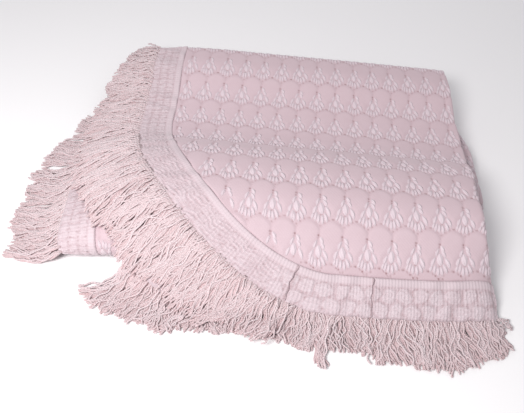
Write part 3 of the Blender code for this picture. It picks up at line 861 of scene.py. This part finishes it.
# Waves in the band: size, and lengths along it and out from the cloth, in millimetres
ALONG_BENDS = ((1.7, 47.0, 21.0), (0.5, 2.1 * TURN, math.inf))
OUT_BENDS = ((0.9, 26.0, math.inf), (0.4, 3.1 * TURN, 1.9 * TURN))
CREASE_BENDS = ((2.6, 37.0, math.inf), (1.1, 13.0, 8.0 * TURN))
CREASE_FADES = ((0.4, 5.3 * TURN, 3.7 * TURN),)
CREASE_KEPT = 0.6
CREASE_PITCH = 5.6

# Crossing waves, one along and one out: pitch, how far the other way bends it in turns, and
# over what length
CURLS = ((5.3, 0.55, 9.7), (5.1, 0.50, 12.1))
SPECKS = ((2.9 * TURN, 2.0 / TURN, 6.1 * TURN), (2.1 * TURN, 1.7 / TURN, 10.7 * TURN))
SPECK_RANGE = (0.80, 0.97)

# The slow rise and fall of the band: lengths along and out, and how far and how fast it strays
PUCKER_LONG, PUCKER_WIDE, PUCKER_STRAY, PUCKER_RATE = 43.0, 64.0, 0.3, 17.0

# What each part of the pattern adds to the band's height in millimetres and to its tone
# The tone column is painted highlight where the cord, puffs, rings, curls and creases rise, painted
# shade in the seam
BAND_PARTS = {
    "cord": (0.8, 0.18),
    "puff": (0.85, 0.18),
    "rings": (0.36, 0.12),
    "curls": (0.65, 0.24),
    "crease": (0.55, 0.10),
    "pucker": (1.6, 0.0),
    "seam": (-0.25, -0.10),
    "line": (0.0, -0.10),
    "slack": (0.0, 0.02),
    "on_cord": (0.0, 0.62),
    "off_cord": (-0.1, 0.58),
}
BAND_DEEPEST = -0.7

# How dark the band is at its joins and how wide that is, and how a join strays: size in metres,
# length in millimetres and phase
# Darkening at the joins is painted shade, where the gap between band pieces lies in shade
JOIN_SHADE = 0.34
JOIN_WIDE = 0.0014
JOIN_SWAYS = ((0.0011, 5.5, 0.8), (0.0006, 2.1, 0.0))
JOIN_BEYOND = 0.001


def waves(s, out, table):
    return sum(size * np.sin(TURN * (s / long + out / wide)) for size, long, wide in table)


def bent_wave(value, other, pitch, bend, length):
    return np.sin(TURN * (value / pitch + bend * np.sin(TURN * other / length)))


def crossing_waves(s, out, table):
    """Waves along and out, each bent by the other, about plus or minus one."""
    return bent_wave(s, out, *table[0]) * bent_wave(out, s, *table[1])


def puffs(s, out, rows, half_long, half_out, offset, power):
    """Height share of rows of puffs, and the distance from the middle of the nearest one."""
    share = np.zeros_like(s)
    nearest = np.full_like(s, 2.0)
    for number, middle in enumerate(rows):
        along = (s + offset * number) % (2 * half_long) - half_long
        distance = (np.abs(along / half_long) ** power
                    + np.abs((out - middle) / half_out) ** power) ** (1 / power)
        share = np.maximum(share, np.sqrt(np.clip(1 - distance ** 2, 0, 1)))
        nearest = np.minimum(nearest, distance)
    return share, nearest


def creases(s, out):
    """Long wavy creases of the slack band, and how much painted shade shows in the small gaps in
    them.
    """
    bent = out + waves(s, out, CREASE_BENDS)
    crease = np.sin(TURN * bent / CREASE_PITCH) * (CREASE_KEPT + waves(s, out, CREASE_FADES))
    return crease, smooth_step(*SPECK_RANGE, crossing_waves(s, out, SPECKS))


def band_relief(s, out, squares, loose):
    """Height, tone with painted highlight and shade, and painted gap shade of the band at a place
    along it and out from the cloth.

    squares is 1 where its puffs are square and 0 where they are round, and loose is 1 where it
    is slack.
    """
    s, out = s * MM, out * MM
    bent_s = s + waves(s, out, ALONG_BENDS)
    bent_out = out + waves(s, out, OUT_BENDS)
    circle, near_circle = puffs(bent_s, bent_out, ROUND_ROWS, ROUND_HALF, ROUND_HALF,
                                ROUND_HALF, ROUND_SHAPE)
    square, near_square = puffs(bent_s, out, SQUARE_ROWS, *SQUARE_HALF, 0.0, SQUARE_SHAPE)
    rounds = 1 - squares
    on_cord = out < CORD_END
    plain = 1.0 * ~on_cord
    firm = (1 - SLACK_LOSS * loose) * plain
    rings = 0.5 + 0.5 * np.cos(TURN * near_circle * ROUND_HALF / RING_PITCH)
    line = np.exp(-((near_circle - 1.0) / ROUND_LINE) ** 2) * rounds
    line = line + np.exp(-((near_square - 1.0) / SQUARE_LINE) ** 2) * squares
    cord = np.sqrt(np.clip(1 - ((out - CORD_END / 2) / (CORD_END / 2)) ** 2, 0, 1))
    pucker = s / PUCKER_LONG + out / PUCKER_WIDE + PUCKER_STRAY * np.sin(s / PUCKER_RATE)
    crease, speck = creases(s, out)
    parts = {
        "cord": cord * on_cord,
        "puff": (circle * rounds + square * squares) * firm,
        "rings": rings * rounds * (near_circle < 1) * firm,
        "curls": crossing_waves(s, out, CURLS) * plain,
        "crease": crease * loose * plain,
        "pucker": 0.5 + 0.5 * np.sin(TURN * pucker),
        "seam": np.exp(-((out - CORD_END) / SEAM_HALF) ** 2),
        "line": line * firm,
        "slack": loose * plain,
        "on_cord": on_cord,
        "off_cord": plain,
    }
    # Tone: painted highlight on the raised parts, painted shade in the seam beside the cord
    height = sum(BAND_PARTS[part][0] * share for part, share in parts.items())
    tone = sum(BAND_PARTS[part][1] * share for part, share in parts.items())
    # Dots on the lines and specks in the creases are painted shade in small gaps
    dots = (np.cos(TURN * s / DOT_PITCH) > DOT_SHORT) * parts["line"] + speck * parts["slack"]
    height = np.maximum(height, BAND_DEEPEST)
    return height / MM, np.clip(tone, 0, 1), np.clip(DOT_SHADE * dots, 0, 1)


def squares_at(s):
    """Puffs are square on the straight left edges and round along the front."""
    end, start = EDGE.mark(*SQUARES_END), EDGE.mark(*SQUARES_START)
    squares = 1 - smooth_step(end, end + SQUARES_END_LENGTH, s)
    squares = squares + smooth_step(start, start + SQUARES_START_LENGTH, s)
    return np.clip(squares, 0, 1)


def loose_at(s):
    """The band is slack round the rounded foot corners."""
    start, end = EDGE.mark(*SLACK_START), EDGE.mark(*SLACK_END)
    begun = smooth_step(start, start + SLACK_START_LENGTH, s)
    return begun * (1 - smooth_step(end - SLACK_END_LENGTH, end, s))


def join_sway(out):
    """How far a join strays to the side on its way out from the cloth."""
    return sum(size * np.sin(out * MM / length + phase) for size, length, phase in JOIN_SWAYS)


def make_band(trim):
    first, last = EDGE.ends(trim)
    first, last = first + SEAM_GAP, last - SEAM_GAP
    steps = np.linspace(first, last, round((last - first) / BAND_STEP))
    outs = np.linspace(SEAM_GAP, BAND_WIDTH, round(BAND_WIDTH / BAND_STEP))
    dips = np.abs(np.sin(np.pi * (steps * MM + ROUND_HALF) / (2 * ROUND_HALF))) - 1
    outer = BAND_WIDTH + SCALLOP / MM * dips * (1 - squares_at(steps)) * (1 - loose_at(steps))
    sides = outs[1:-2]
    outline = np.concatenate([
        stacked(steps, np.full(len(steps), SEAM_GAP)),
        stacked(last + join_sway(sides), sides),
        stacked(steps[::-1], outer[::-1]),
        stacked(first + join_sway(sides), sides)[::-1],
    ])
    wider = np.concatenate([[first - JOIN_BEYOND, first], steps[1:-1], [last, last + JOIN_BEYOND]])
    s, out = np.meshgrid(wider, outs[1:-3])
    s, out = s.ravel(), out.ravel()
    inside = (s > first + join_sway(out) + BAND_STEP / 2)
    inside &= (s < last + join_sway(out) - BAND_STEP / 2)
    s, out = s[inside], out[inside]
    height, tone, opened = band_relief(s, out, squares_at(s), loose_at(s))
    # Painted shade in the gap at each end of the band, where it meets the next piece
    to_end = np.minimum(s - first, last - s)
    opened = np.maximum(opened, JOIN_SHADE * np.exp(-(to_end / JOIN_WIDE) ** 2))
    over = stacked(s, out, height, tone, opened)
    s, out = np.meshgrid(steps[UNDER_ALONG], outs[UNDER_OUT])
    under = plain_points(stacked(s.ravel(), out.ravel()))
    return closed_sheet("band_" + trim.name, outline, over, under, (0, 0), BAND_THICK, EDGE.put)


# Drift shared by neighbouring yarns: length along the band, size, and turns along the yarn
FLOW = ((0.061, 0.0030, 0.45), (0.033, 0.0020, 0.80), (0.019, 0.0010, 1.3))
FLOW_PHASE = 41.0
FAN_LIMITS = (-4.0, 12.0)

# Yarns of a lock: how many, on how many levels, how far they spread, and how much wider and
# taller the lowest ones are at their roots, to close the gaps
LOCK_YARNS = 15
LOCK_SPREAD = 1.30
YARN_LEVELS = 3
BASE_WIDER = 1.7
BASE_TALLER = 0.3
BASE_TAPER = 3

# How they stray, in metres: at their roots, with the whole lock, on each level, where they
# cross, where they hook and upwards, and the shares that cross and hook
ROOT_STRAY = 0.0004
BEND_STRAY = 0.0022
LEVEL_STRAYS = (0.0007, 0.0017, 0.0023)
CROSSING_STRAY = 0.0075
HOOK_STRAY = 0.0035
LIFT_STRAY = 0.0005
CROSSING_SHARE = 0.25
HOOKED_SHARE = 0.25

# How many levels a crossing yarn is higher, how much of a half turn it makes, and how much a
# hook shortens its yarn
CROSSING_LEVELS, CROSSING_TURN, HOOK_SHORTENS = 1.2, 0.8, 0.5

# Slow waves of a yarn from root to tip, sideways and up: turns and size
SIDE_WAVES = ((1.3, 1.0), (3.2, 0.55))
LIFT_WAVES = ((1.6, 0.7), (3.4, 0.4))
WAVE_RATES = (0.7, 1.3)

# Limits of how much a lock closes, of its length and of its yarns' lengths
CLOSING = (-0.10, 0.40)
LOCK_LENGTHS = (0.90, 1.07)
YARN_LENGTHS = (0.91, 1.03)

# How soon a yarn rises to its level, how deep that begins, and how much it sinks to its tip
RISE_RATE, LEVEL_SINK, TIP_SINK = 9, 0.0004, 0.35

# Where a hook begins and where it shortens the yarn, and where the tip darkens
HOOK_START, HOOK_TURN, TIP_START = 0.70, 0.85, 0.72

# Tone of the lowest yarns, what each level adds (lower yarns painted in shade), the limits of its
# stray, and the tips' loss
YARN_TONE, LEVEL_SHADE_STEP, TONE_STRAYS, TIP_TONE = 0.40, 0.15, (-0.12, 0.14), 0.14


def rest_height(x, y, root, share, rest):
    """Height of a yarn's bed: on the stack, or falling to rest level on the floor."""
    level = LOCK_TALL / 2
    if rest == "floor":
        return level + (root - level) * np.maximum(0.0, 1 - share / FALL_SHARE) ** FALL_POWER
    over = level + np.where(x < UNDERLAY_END, UNDERLAY, 0.0)
    stack = top_height(y) * settle_share(x) - STACK_SINK
    stack = stack - BACK_SAG * smooth_step(BACK_EDGE, BACK_EDGE + BACK_SAG_LENGTH, y)
    blend = np.clip(share / BED_SHARE, 0, 1)
    return root * (1 - blend) + np.maximum(stack, over) * blend


def slow_noise(chance, count, table):
    """Smooth random curves along each yarn, one row each, about plus or minus one."""
    share = np.linspace(0, 1, YARN_POINTS)
    total = np.zeros((count, YARN_POINTS))
    for turns, size in table:
        phase = chance.uniform(0, TURN, (count, 1))
        rate = turns * chance.uniform(*WAVE_RATES, (count, 1))
        total += size * np.sin(TURN * rate * share + phase)
    return total


def hand_of(fringe):
    """1 where the cloth's edge runs on to the left of the way out from it, -1 to the right."""
    return 1 if fringe.start_on.startswith("outer") else -1


def lock_lines(fringe, rest, place_along, share_along, root, angle, fan, chance):
    """Centre lines and tones of the yarns of one lock.

    angle is the lock's way on plan, and fan how much it turns in each metre of band.
    """
    way = np.array([math.cos(angle), math.sin(angle)])
    cross = np.array([-way[1], way[0]])
    first, last = fringe.length_first / MM, fringe.length_last / MM
    length = first + (last - first) * share_along
    share = np.linspace(0, 1, YARN_POINTS)[None, :]
    count, one_each = LOCK_YARNS, (LOCK_YARNS, 1)
    number = np.arange(count)[:, None]
    level = number % YARN_LEVELS
    upper = np.minimum(level, 1)
    side = (number + 0.5) / count - 0.5
    side = side * (fringe.pitch / MM) * LOCK_SPREAD + chance.normal(0, ROOT_STRAY, one_each)
    at = place_along + hand_of(fringe) * side
    drift = LOCK_SWAY * np.sin(TURN * at / LOCK_SWAY_LENGTH) * share ** 1.5
    for pitch, size, turns in FLOW:
        phase = TURN * at / pitch + FLOW_PHASE * pitch
        drift = drift + size * (np.sin(phase + TURN * turns * share) - np.sin(phase))
    bend = chance.normal(0, BEND_STRAY)
    close = chance.uniform(*CLOSING) * upper
    aside = side * (1 - close * share) * (1 + fan * length * share) + drift
    aside = aside + bend * upper * share ** 1.6
    aside = aside + fringe.sweep / MM * share_along ** 2 * share ** 2
    rise = np.clip(share * RISE_RATE, 0, 1)
    aside = aside + np.array(LEVEL_STRAYS)[level] * rise * slow_noise(chance, count, SIDE_WAVES)
    crossing = (chance.uniform(0, 1, one_each) < CROSSING_SHARE) & (level > 0)
    swing = chance.normal(0, CROSSING_STRAY, one_each) * crossing
    aside = aside + swing * np.sin(math.pi * CROSSING_TURN * share) * share ** 0.5
    hooked = chance.uniform(0, 1, one_each) < HOOKED_SHARE
    hook = chance.normal(0, HOOK_STRAY, one_each) * hooked
    aside = aside + hook * smooth_step(HOOK_START, 1.0, share)
    reach = length * chance.uniform(*LOCK_LENGTHS) * chance.uniform(*YARN_LENGTHS, one_each)
    shorter = np.abs(hook) * HOOK_SHORTENS * smooth_step(HOOK_TURN, 1.0, share)
    ahead = reach * share - ROOT_UNDER - shorter
    x = root[0] + way[0] * ahead + cross[0] * aside
    y = root[1] + way[1] * ahead + cross[1] * aside
    bed = rest_height(x + MIDDLE[0], y + MIDDLE[1], root[2], share * np.ones_like(x), rest)
    level = level + CROSSING_LEVELS * crossing
    lift = (level * YARN_LEVEL - LEVEL_SINK) * rise * (1 - TIP_SINK * share)
    lift = lift + LIFT_STRAY * rise * slow_noise(chance, count, LIFT_WAVES)
    z = np.maximum(bed + lift, YARN_RADIUS)
    # Lower levels are darker: painted shade under the yarns lying over them
    tone = YARN_TONE + LEVEL_SHADE_STEP * level + chance.uniform(*TONE_STRAYS, one_each)
    tone = tone - TIP_TONE * smooth_step(TIP_START, 1.0, share)
    return stacked(x, y, z), tone


def yarn_lines(fringe, rest, chance):
    """Centre lines of all yarns of one stretch of fringe, and their tones."""
    fine = np.arange(*EDGE.ends(fringe), FINE_STEP)
    outer = EDGE.put(fine, BAND_WIDTH, 0.0)
    length = distances(outer)
    locks = int(length[-1] // (fringe.pitch / MM))
    shares = (np.arange(locks) + 0.5) / locks
    middles = shares * length[-1]
    places = np.interp(middles, length, fine)
    roots = EDGE.put(places, BAND_WIDTH, 0.0)
    ways = roots - EDGE.put(places, BAND_WIDTH - ROOT_BACK, 0.0)
    turns = fringe.turn_first * (1 - shares) ** TURN_POWER + fringe.turn_last * shares ** TURN_POWER
    angles = np.unwrap(np.arctan2(ways[:, 1], ways[:, 0])) + np.radians(turns)
    fans = np.zeros(locks)
    if locks > 1:
        fans = np.clip(hand_of(fringe) * np.gradient(angles, middles), *FAN_LIMITS)
    found = [lock_lines(fringe, rest, *of_lock, chance)
             for of_lock in zip(places, shares, roots, angles, fans)]
    return [np.concatenate(values) for values in zip(*found)]


def yarn_mesh(name, lines, tone, chance):
    """Joined tubes round the centre lines."""
    count, points, _ = lines.shape
    lowest = (np.arange(count) % YARN_LEVELS == 0)[:, None]
    way = np.gradient(lines, axis=1)
    way /= np.linalg.norm(way, axis=-1, keepdims=True) + TINY
    aside = np.cross(way, (0.0, 0.0, 1.0))
    aside /= np.linalg.norm(aside, axis=-1, keepdims=True) + TINY
    over = np.cross(aside, way) * (1 + BASE_TALLER * lowest[..., None])
    wide = 1 + BASE_WIDER * lowest * (1 - np.linspace(0, 1, points) ** BASE_TAPER)
    aside = aside * wide[..., None]
    k = YARN_SIDES
    angle = TURN * (np.arange(k) + 0.5) / k
    radius = np.repeat(YARN_RADIUS * chance.uniform(*YARN_SIZES, (count, 1)), points, axis=1)
    radius[:, -1] *= YARN_TIP
    ring = aside[:, :, None] * np.cos(angle)[:, None] + over[:, :, None] * np.sin(angle)[:, None]
    tube = lines[:, :, None] + ring * radius[:, :, None, None]
    tube[..., 2] = np.maximum(tube[..., 2], 0.0)
    caps = np.array([[0, i + 1, i] for i in range(1, k - 1)])
    faces = np.concatenate([grid_faces(points, k, 1), caps, caps[:, ::-1] + (points - 1) * k])
    flat = flat_places(np.linspace(0, 1, points)[:, None] * YARN_LENGTH, np.arange(k) / k,
                       tone[..., None])
    return mesh_object(name, tube.reshape(-1, 3), repeated(faces, count, points * k),
                       flat.reshape(-1, 5))


def linked(name, data):
    made = bpy.data.objects.new(name, data)
    bpy.context.scene.collection.objects.link(made)
    return made


def node(tree, kind, **values):
    made = tree.nodes.new(kind)
    for key, value in values.items():
        setattr(made, key, value)
    return made


def set_sockets(made, values):
    for name, value in values.items():
        made.inputs[name].default_value = value


def math_node(tree, operation, first, second=None):
    made = node(tree, "ShaderNodeMath", operation=operation)
    for socket, value in zip(made.inputs, (first, second)):
        if value is None:
            continue
        if isinstance(value, (int, float)):
            socket.default_value = value
        else:
            tree.links.new(value, socket)
    return made.outputs[0]


def mix_colour(tree, factor, first, second):
    made = node(tree, "ShaderNodeMix", data_type="RGBA")
    for socket, value in zip((made.inputs[0], made.inputs[6], made.inputs[7]),
                             (factor, first, second)):
        if isinstance(value, tuple):
            socket.default_value = (*value, 1.0)
        else:
            tree.links.new(value, socket)
    return made.outputs[2]


def new_material(name, roughness, sheen, soft):
    made = bpy.data.materials.new(name)
    made.use_nodes = True
    shader = made.node_tree.nodes["Principled BSDF"]
    set_sockets(shader, {
        "Roughness": roughness,
        "Sheen Weight": sheen,
        "Sheen Roughness": 0.5,
        "Specular IOR Level": 0.25,
        "Subsurface Weight": soft,
        "Subsurface Radius": (1.0, 0.75, 0.75),
        "Subsurface Scale": 0.003,
    })
    return made, made.node_tree, shader


# Cotton colours from the deepest to the palest tone, and the painted shade seen in openings and gaps
LACE_TONES = ((0.42, 0.265, 0.290), (0.565, 0.428, 0.462), (0.655, 0.530, 0.570))
STITCH_TONES = ((0.52, 0.390, 0.425), (0.620, 0.508, 0.550), (0.672, 0.574, 0.614))
BAND_TONES = ((0.43, 0.295, 0.315), (0.560, 0.445, 0.475), (0.660, 0.565, 0.598))
YARN_TONES = ((0.56, 0.390, 0.400), (0.650, 0.500, 0.515), (0.725, 0.605, 0.625))
GAP_SHADE_PINK = (0.22, 0.085, 0.085)
COTTON_ROUGH, COTTON_SHEEN, CLOUD_DETAIL, BUMP_STRENGTH = 0.88, 0.20, 4.0, 0.7

# Fine patterns in the cottons: pitches in metres, threads in a turn, how faint the rows between
# ribs are, and what each pattern's share of the tone and depth are
KNIT_ACROSS, KNIT_ALONG, KNIT_TONE, KNIT_DEPTH = 0.0038, 0.0048, 0.009, 0.00005
RIB_PITCH, ROW_BETWEEN, ROW_FAINT, RIB_TONE, RIB_DEPTH = 0.0036, 0.0034, 0.35, 0.035, 0.0002
THREAD_PITCH, THREAD_COUNT, THREAD_TONE, THREAD_DEPTH = 0.014, 3, 0.06, 0.0002
PLY_PITCH, PLY_COUNT, PLY_TONE, PLY_DEPTH = 0.0032, 1, 0.06, 0.0003


def toned(name, tones, noise_scale, noise_size, soft, details):
    """A cotton whose colour follows the mesh's tone, with a noise and finer details over it.

    details gives the fine pattern at a flat place, its share of the tone and its depth.
    """
    made, tree, shader = new_material(name, COTTON_ROUGH, COTTON_SHEEN, soft)
    tone = attribute(tree, "tone")
    split = node(tree, "ShaderNodeSeparateXYZ")
    tree.links.new(node(tree, "ShaderNodeUVMap", uv_map="flat").outputs[0], split.inputs[0])
    noise = node(tree, "ShaderNodeTexNoise")
    set_sockets(noise, {"Scale": noise_scale, "Detail": CLOUD_DETAIL})
    tree.links.new(node(tree, "ShaderNodeTexCoord").outputs["Object"], noise.inputs["Vector"])
    cloudy = math_node(tree, "SUBTRACT", noise.outputs["Fac"], 0.5)
    varied = math_node(tree, "ADD", tone, math_node(tree, "MULTIPLY", cloudy, noise_size))
    pattern, weight, depth = details(tree, split.outputs[0], split.outputs[1])
    varied = math_node(tree, "ADD", varied, math_node(tree, "MULTIPLY", pattern, weight))
    ramp = node(tree, "ShaderNodeValToRGB")
    tree.links.new(varied, ramp.inputs[0])
    ends = ramp.color_ramp.elements
    ends[0].color = (*tones[0], 1)
    ends[1].color = (*tones[2], 1)
    ends.new(0.5).color = (*tones[1], 1)
    # Openings and gaps take the painted shade colour
    colour = mix_colour(tree, attribute(tree, "opened"), ramp.outputs[0], GAP_SHADE_PINK)
    tree.links.new(colour, shader.inputs["Base Color"])
    raised = node(tree, "ShaderNodeBump")
    set_sockets(raised, {"Strength": BUMP_STRENGTH, "Distance": depth})
    tree.links.new(pattern, raised.inputs["Height"])
    tree.links.new(raised.outputs[0], shader.inputs["Normal"])
    return made


def attribute(tree, name):
    return node(tree, "ShaderNodeAttribute", attribute_name=name).outputs["Fac"]


def wave(tree, value, pitch):
    return math_node(tree, "SINE", math_node(tree, "MULTIPLY", value, TURN / pitch))


def slanted(tree, along, around, pitch, threads):
    """Threads that turn round a stitch or a yarn once in each pitch."""
    slant = math_node(tree, "MULTIPLY", along, TURN / pitch)
    turn = math_node(tree, "MULTIPLY", around, TURN * threads)
    return math_node(tree, "SINE", math_node(tree, "ADD", slant, turn))


def knitted(tree, across, along):
    """Small stitches in even columns."""
    across_wave, along_wave = wave(tree, across, KNIT_ACROSS), wave(tree, along, KNIT_ALONG)
    return math_node(tree, "MULTIPLY", across_wave, along_wave), KNIT_TONE, KNIT_DEPTH


def ribbed(tree, along, out):
    """Ribs across the band, with a fainter row of stitches along it."""
    ribs = wave(tree, along, RIB_PITCH)
    rows = math_node(tree, "MULTIPLY", wave(tree, out, ROW_BETWEEN), ROW_FAINT)
    return math_node(tree, "ADD", ribs, rows), RIB_TONE, RIB_DEPTH


def threaded(tree, along, around):
    """Threads that run along a stitch, with a slow twist."""
    return slanted(tree, along, around, THREAD_PITCH, THREAD_COUNT), THREAD_TONE, THREAD_DEPTH


def twisted(tree, along, around):
    """The slanted ribs of a plied yarn."""
    return slanted(tree, along, around, PLY_PITCH, PLY_COUNT), PLY_TONE, PLY_DEPTH


FLOOR_SIZE = 6.0
FLOOR_TONES = ((0.90, 0.895, 0.90), (0.93, 0.925, 0.93))
FLOOR_ROUGH, FLOOR_CLOUDS = 0.8, 2.0


def make_floor():
    bpy.ops.mesh.primitive_plane_add(size=FLOOR_SIZE)
    made = bpy.context.object
    made.name = "floor"
    finish, tree, shader = new_material("pale_floor", FLOOR_ROUGH, 0.0, 0.0)
    noise = node(tree, "ShaderNodeTexNoise")
    set_sockets(noise, {"Scale": FLOOR_CLOUDS})
    colour = mix_colour(tree, noise.outputs["Fac"], *FLOOR_TONES)
    tree.links.new(colour, shader.inputs["Base Color"])
    made.data.materials.append(finish)


# Lamps: where they stand, what they light, their diameter, power and colour
Lamp = namedtuple("Lamp", "name spot target size power colour")
LAMPS = (
    Lamp("key", (-0.42, -0.72, 0.82), (-0.05, -0.06, 0.05), 0.42, 11.2, (1.0, 0.985, 0.98)),
    Lamp("back", (0.2, 1.5, 1.2), (0.0, 0.0, 0.05), 1.4, 4.0, (0.98, 0.97, 1.0)),
)
WORLD_COLOUR = (0.96, 0.94, 0.97, 1.0)
WORLD_STRENGTH = 0.52


def make_lights():
    for lamp in LAMPS:
        light = bpy.data.lights.new(lamp.name, "AREA")
        light.shape = "DISK"
        light.size = lamp.size
        light.energy = lamp.power
        light.color = lamp.colour
        made = linked(lamp.name, light)
        made.location = lamp.spot
        made.rotation_mode = "QUATERNION"
        way = Vector(lamp.target) - Vector(lamp.spot)
        made.rotation_quaternion = way.to_track_quat("-Z", "Y")
    world = bpy.data.worlds.new("studio")
    world.use_nodes = True
    set_sockets(world.node_tree.nodes["Background"],
                {"Color": WORLD_COLOUR, "Strength": WORLD_STRENGTH})
    bpy.context.scene.world = world
    bpy.context.scene.view_settings.view_transform = "Standard"


# Camera of the photograph, fitted to the fan rows: in pixels, metres and radians
PHOTO_WIDE = 524
FOCAL_PIXELS = 563.0
SENSOR_WIDE = 36.0
DOWN = math.radians(47.0)
HEADING = 0.016742
ROLL = 0.103905
CAMERA_AT = (-0.0629, -0.7411, 0.5529)


def make_camera():
    sin_h, cos_h = math.sin(HEADING), math.cos(HEADING)
    ahead = np.array([sin_h * math.cos(DOWN), cos_h * math.cos(DOWN), -math.sin(DOWN)])
    right = np.array([cos_h, -sin_h, 0.0])
    up = np.cross(right, ahead)
    turned_right = math.cos(ROLL) * right + math.sin(ROLL) * up
    turned_up = -math.sin(ROLL) * right + math.cos(ROLL) * up
    camera = bpy.data.cameras.new("camera")
    camera.sensor_width = SENSOR_WIDE
    camera.lens = FOCAL_PIXELS / PHOTO_WIDE * SENSOR_WIDE
    camera.clip_start = 0.01
    made = linked("camera", camera)
    turned = Matrix((turned_right, turned_up, -ahead)).transposed()
    spot = (CAMERA_AT[0] - MIDDLE[0], CAMERA_AT[1] - MIDDLE[1], CAMERA_AT[2])
    made.matrix_world = Matrix.Translation(spot) @ turned.to_4x4()
    bpy.context.scene.camera = made


def dress(piece, finish, solid):
    piece.data.materials.append(finish)
    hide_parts(solid)
    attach(piece, "root")


def main():
    make_camera()
    make_lights()
    make_floor()
    lace_cotton = toned("lace_cotton", LACE_TONES, 60.0, 0.22, 0.0, knitted)
    band_cotton = toned("band_cotton", BAND_TONES, 70.0, 0.22, 0.0, ribbed)
    stitch_cotton = toned("stitch_cotton", STITCH_TONES, 90.0, 0.20, 0.0, threaded)
    yarn_cotton = toned("yarn_cotton", YARN_TONES, 90.0, 0.30, 0.12, twisted)
    chance = np.random.default_rng(SEED)
    lace = make_lace()
    stitches = make_stitches(chance)
    dress(lace, lace_cotton, "lace_cloth")
    dress(stitches, stitch_cotton, "lace_cloth")
    for trim in TRIMS:
        band = make_band(trim)
        found = [yarn_lines(fringe, trim.rest, chance) for fringe in trim.fringes]
        lines, tone = (np.concatenate(values) for values in zip(*found))
        yarns = yarn_mesh("fringe_" + trim.name, lines, tone, chance)
        dress(band, band_cotton, "trim_" + trim.name)
        dress(yarns, yarn_cotton, "trim_" + trim.name)


main()
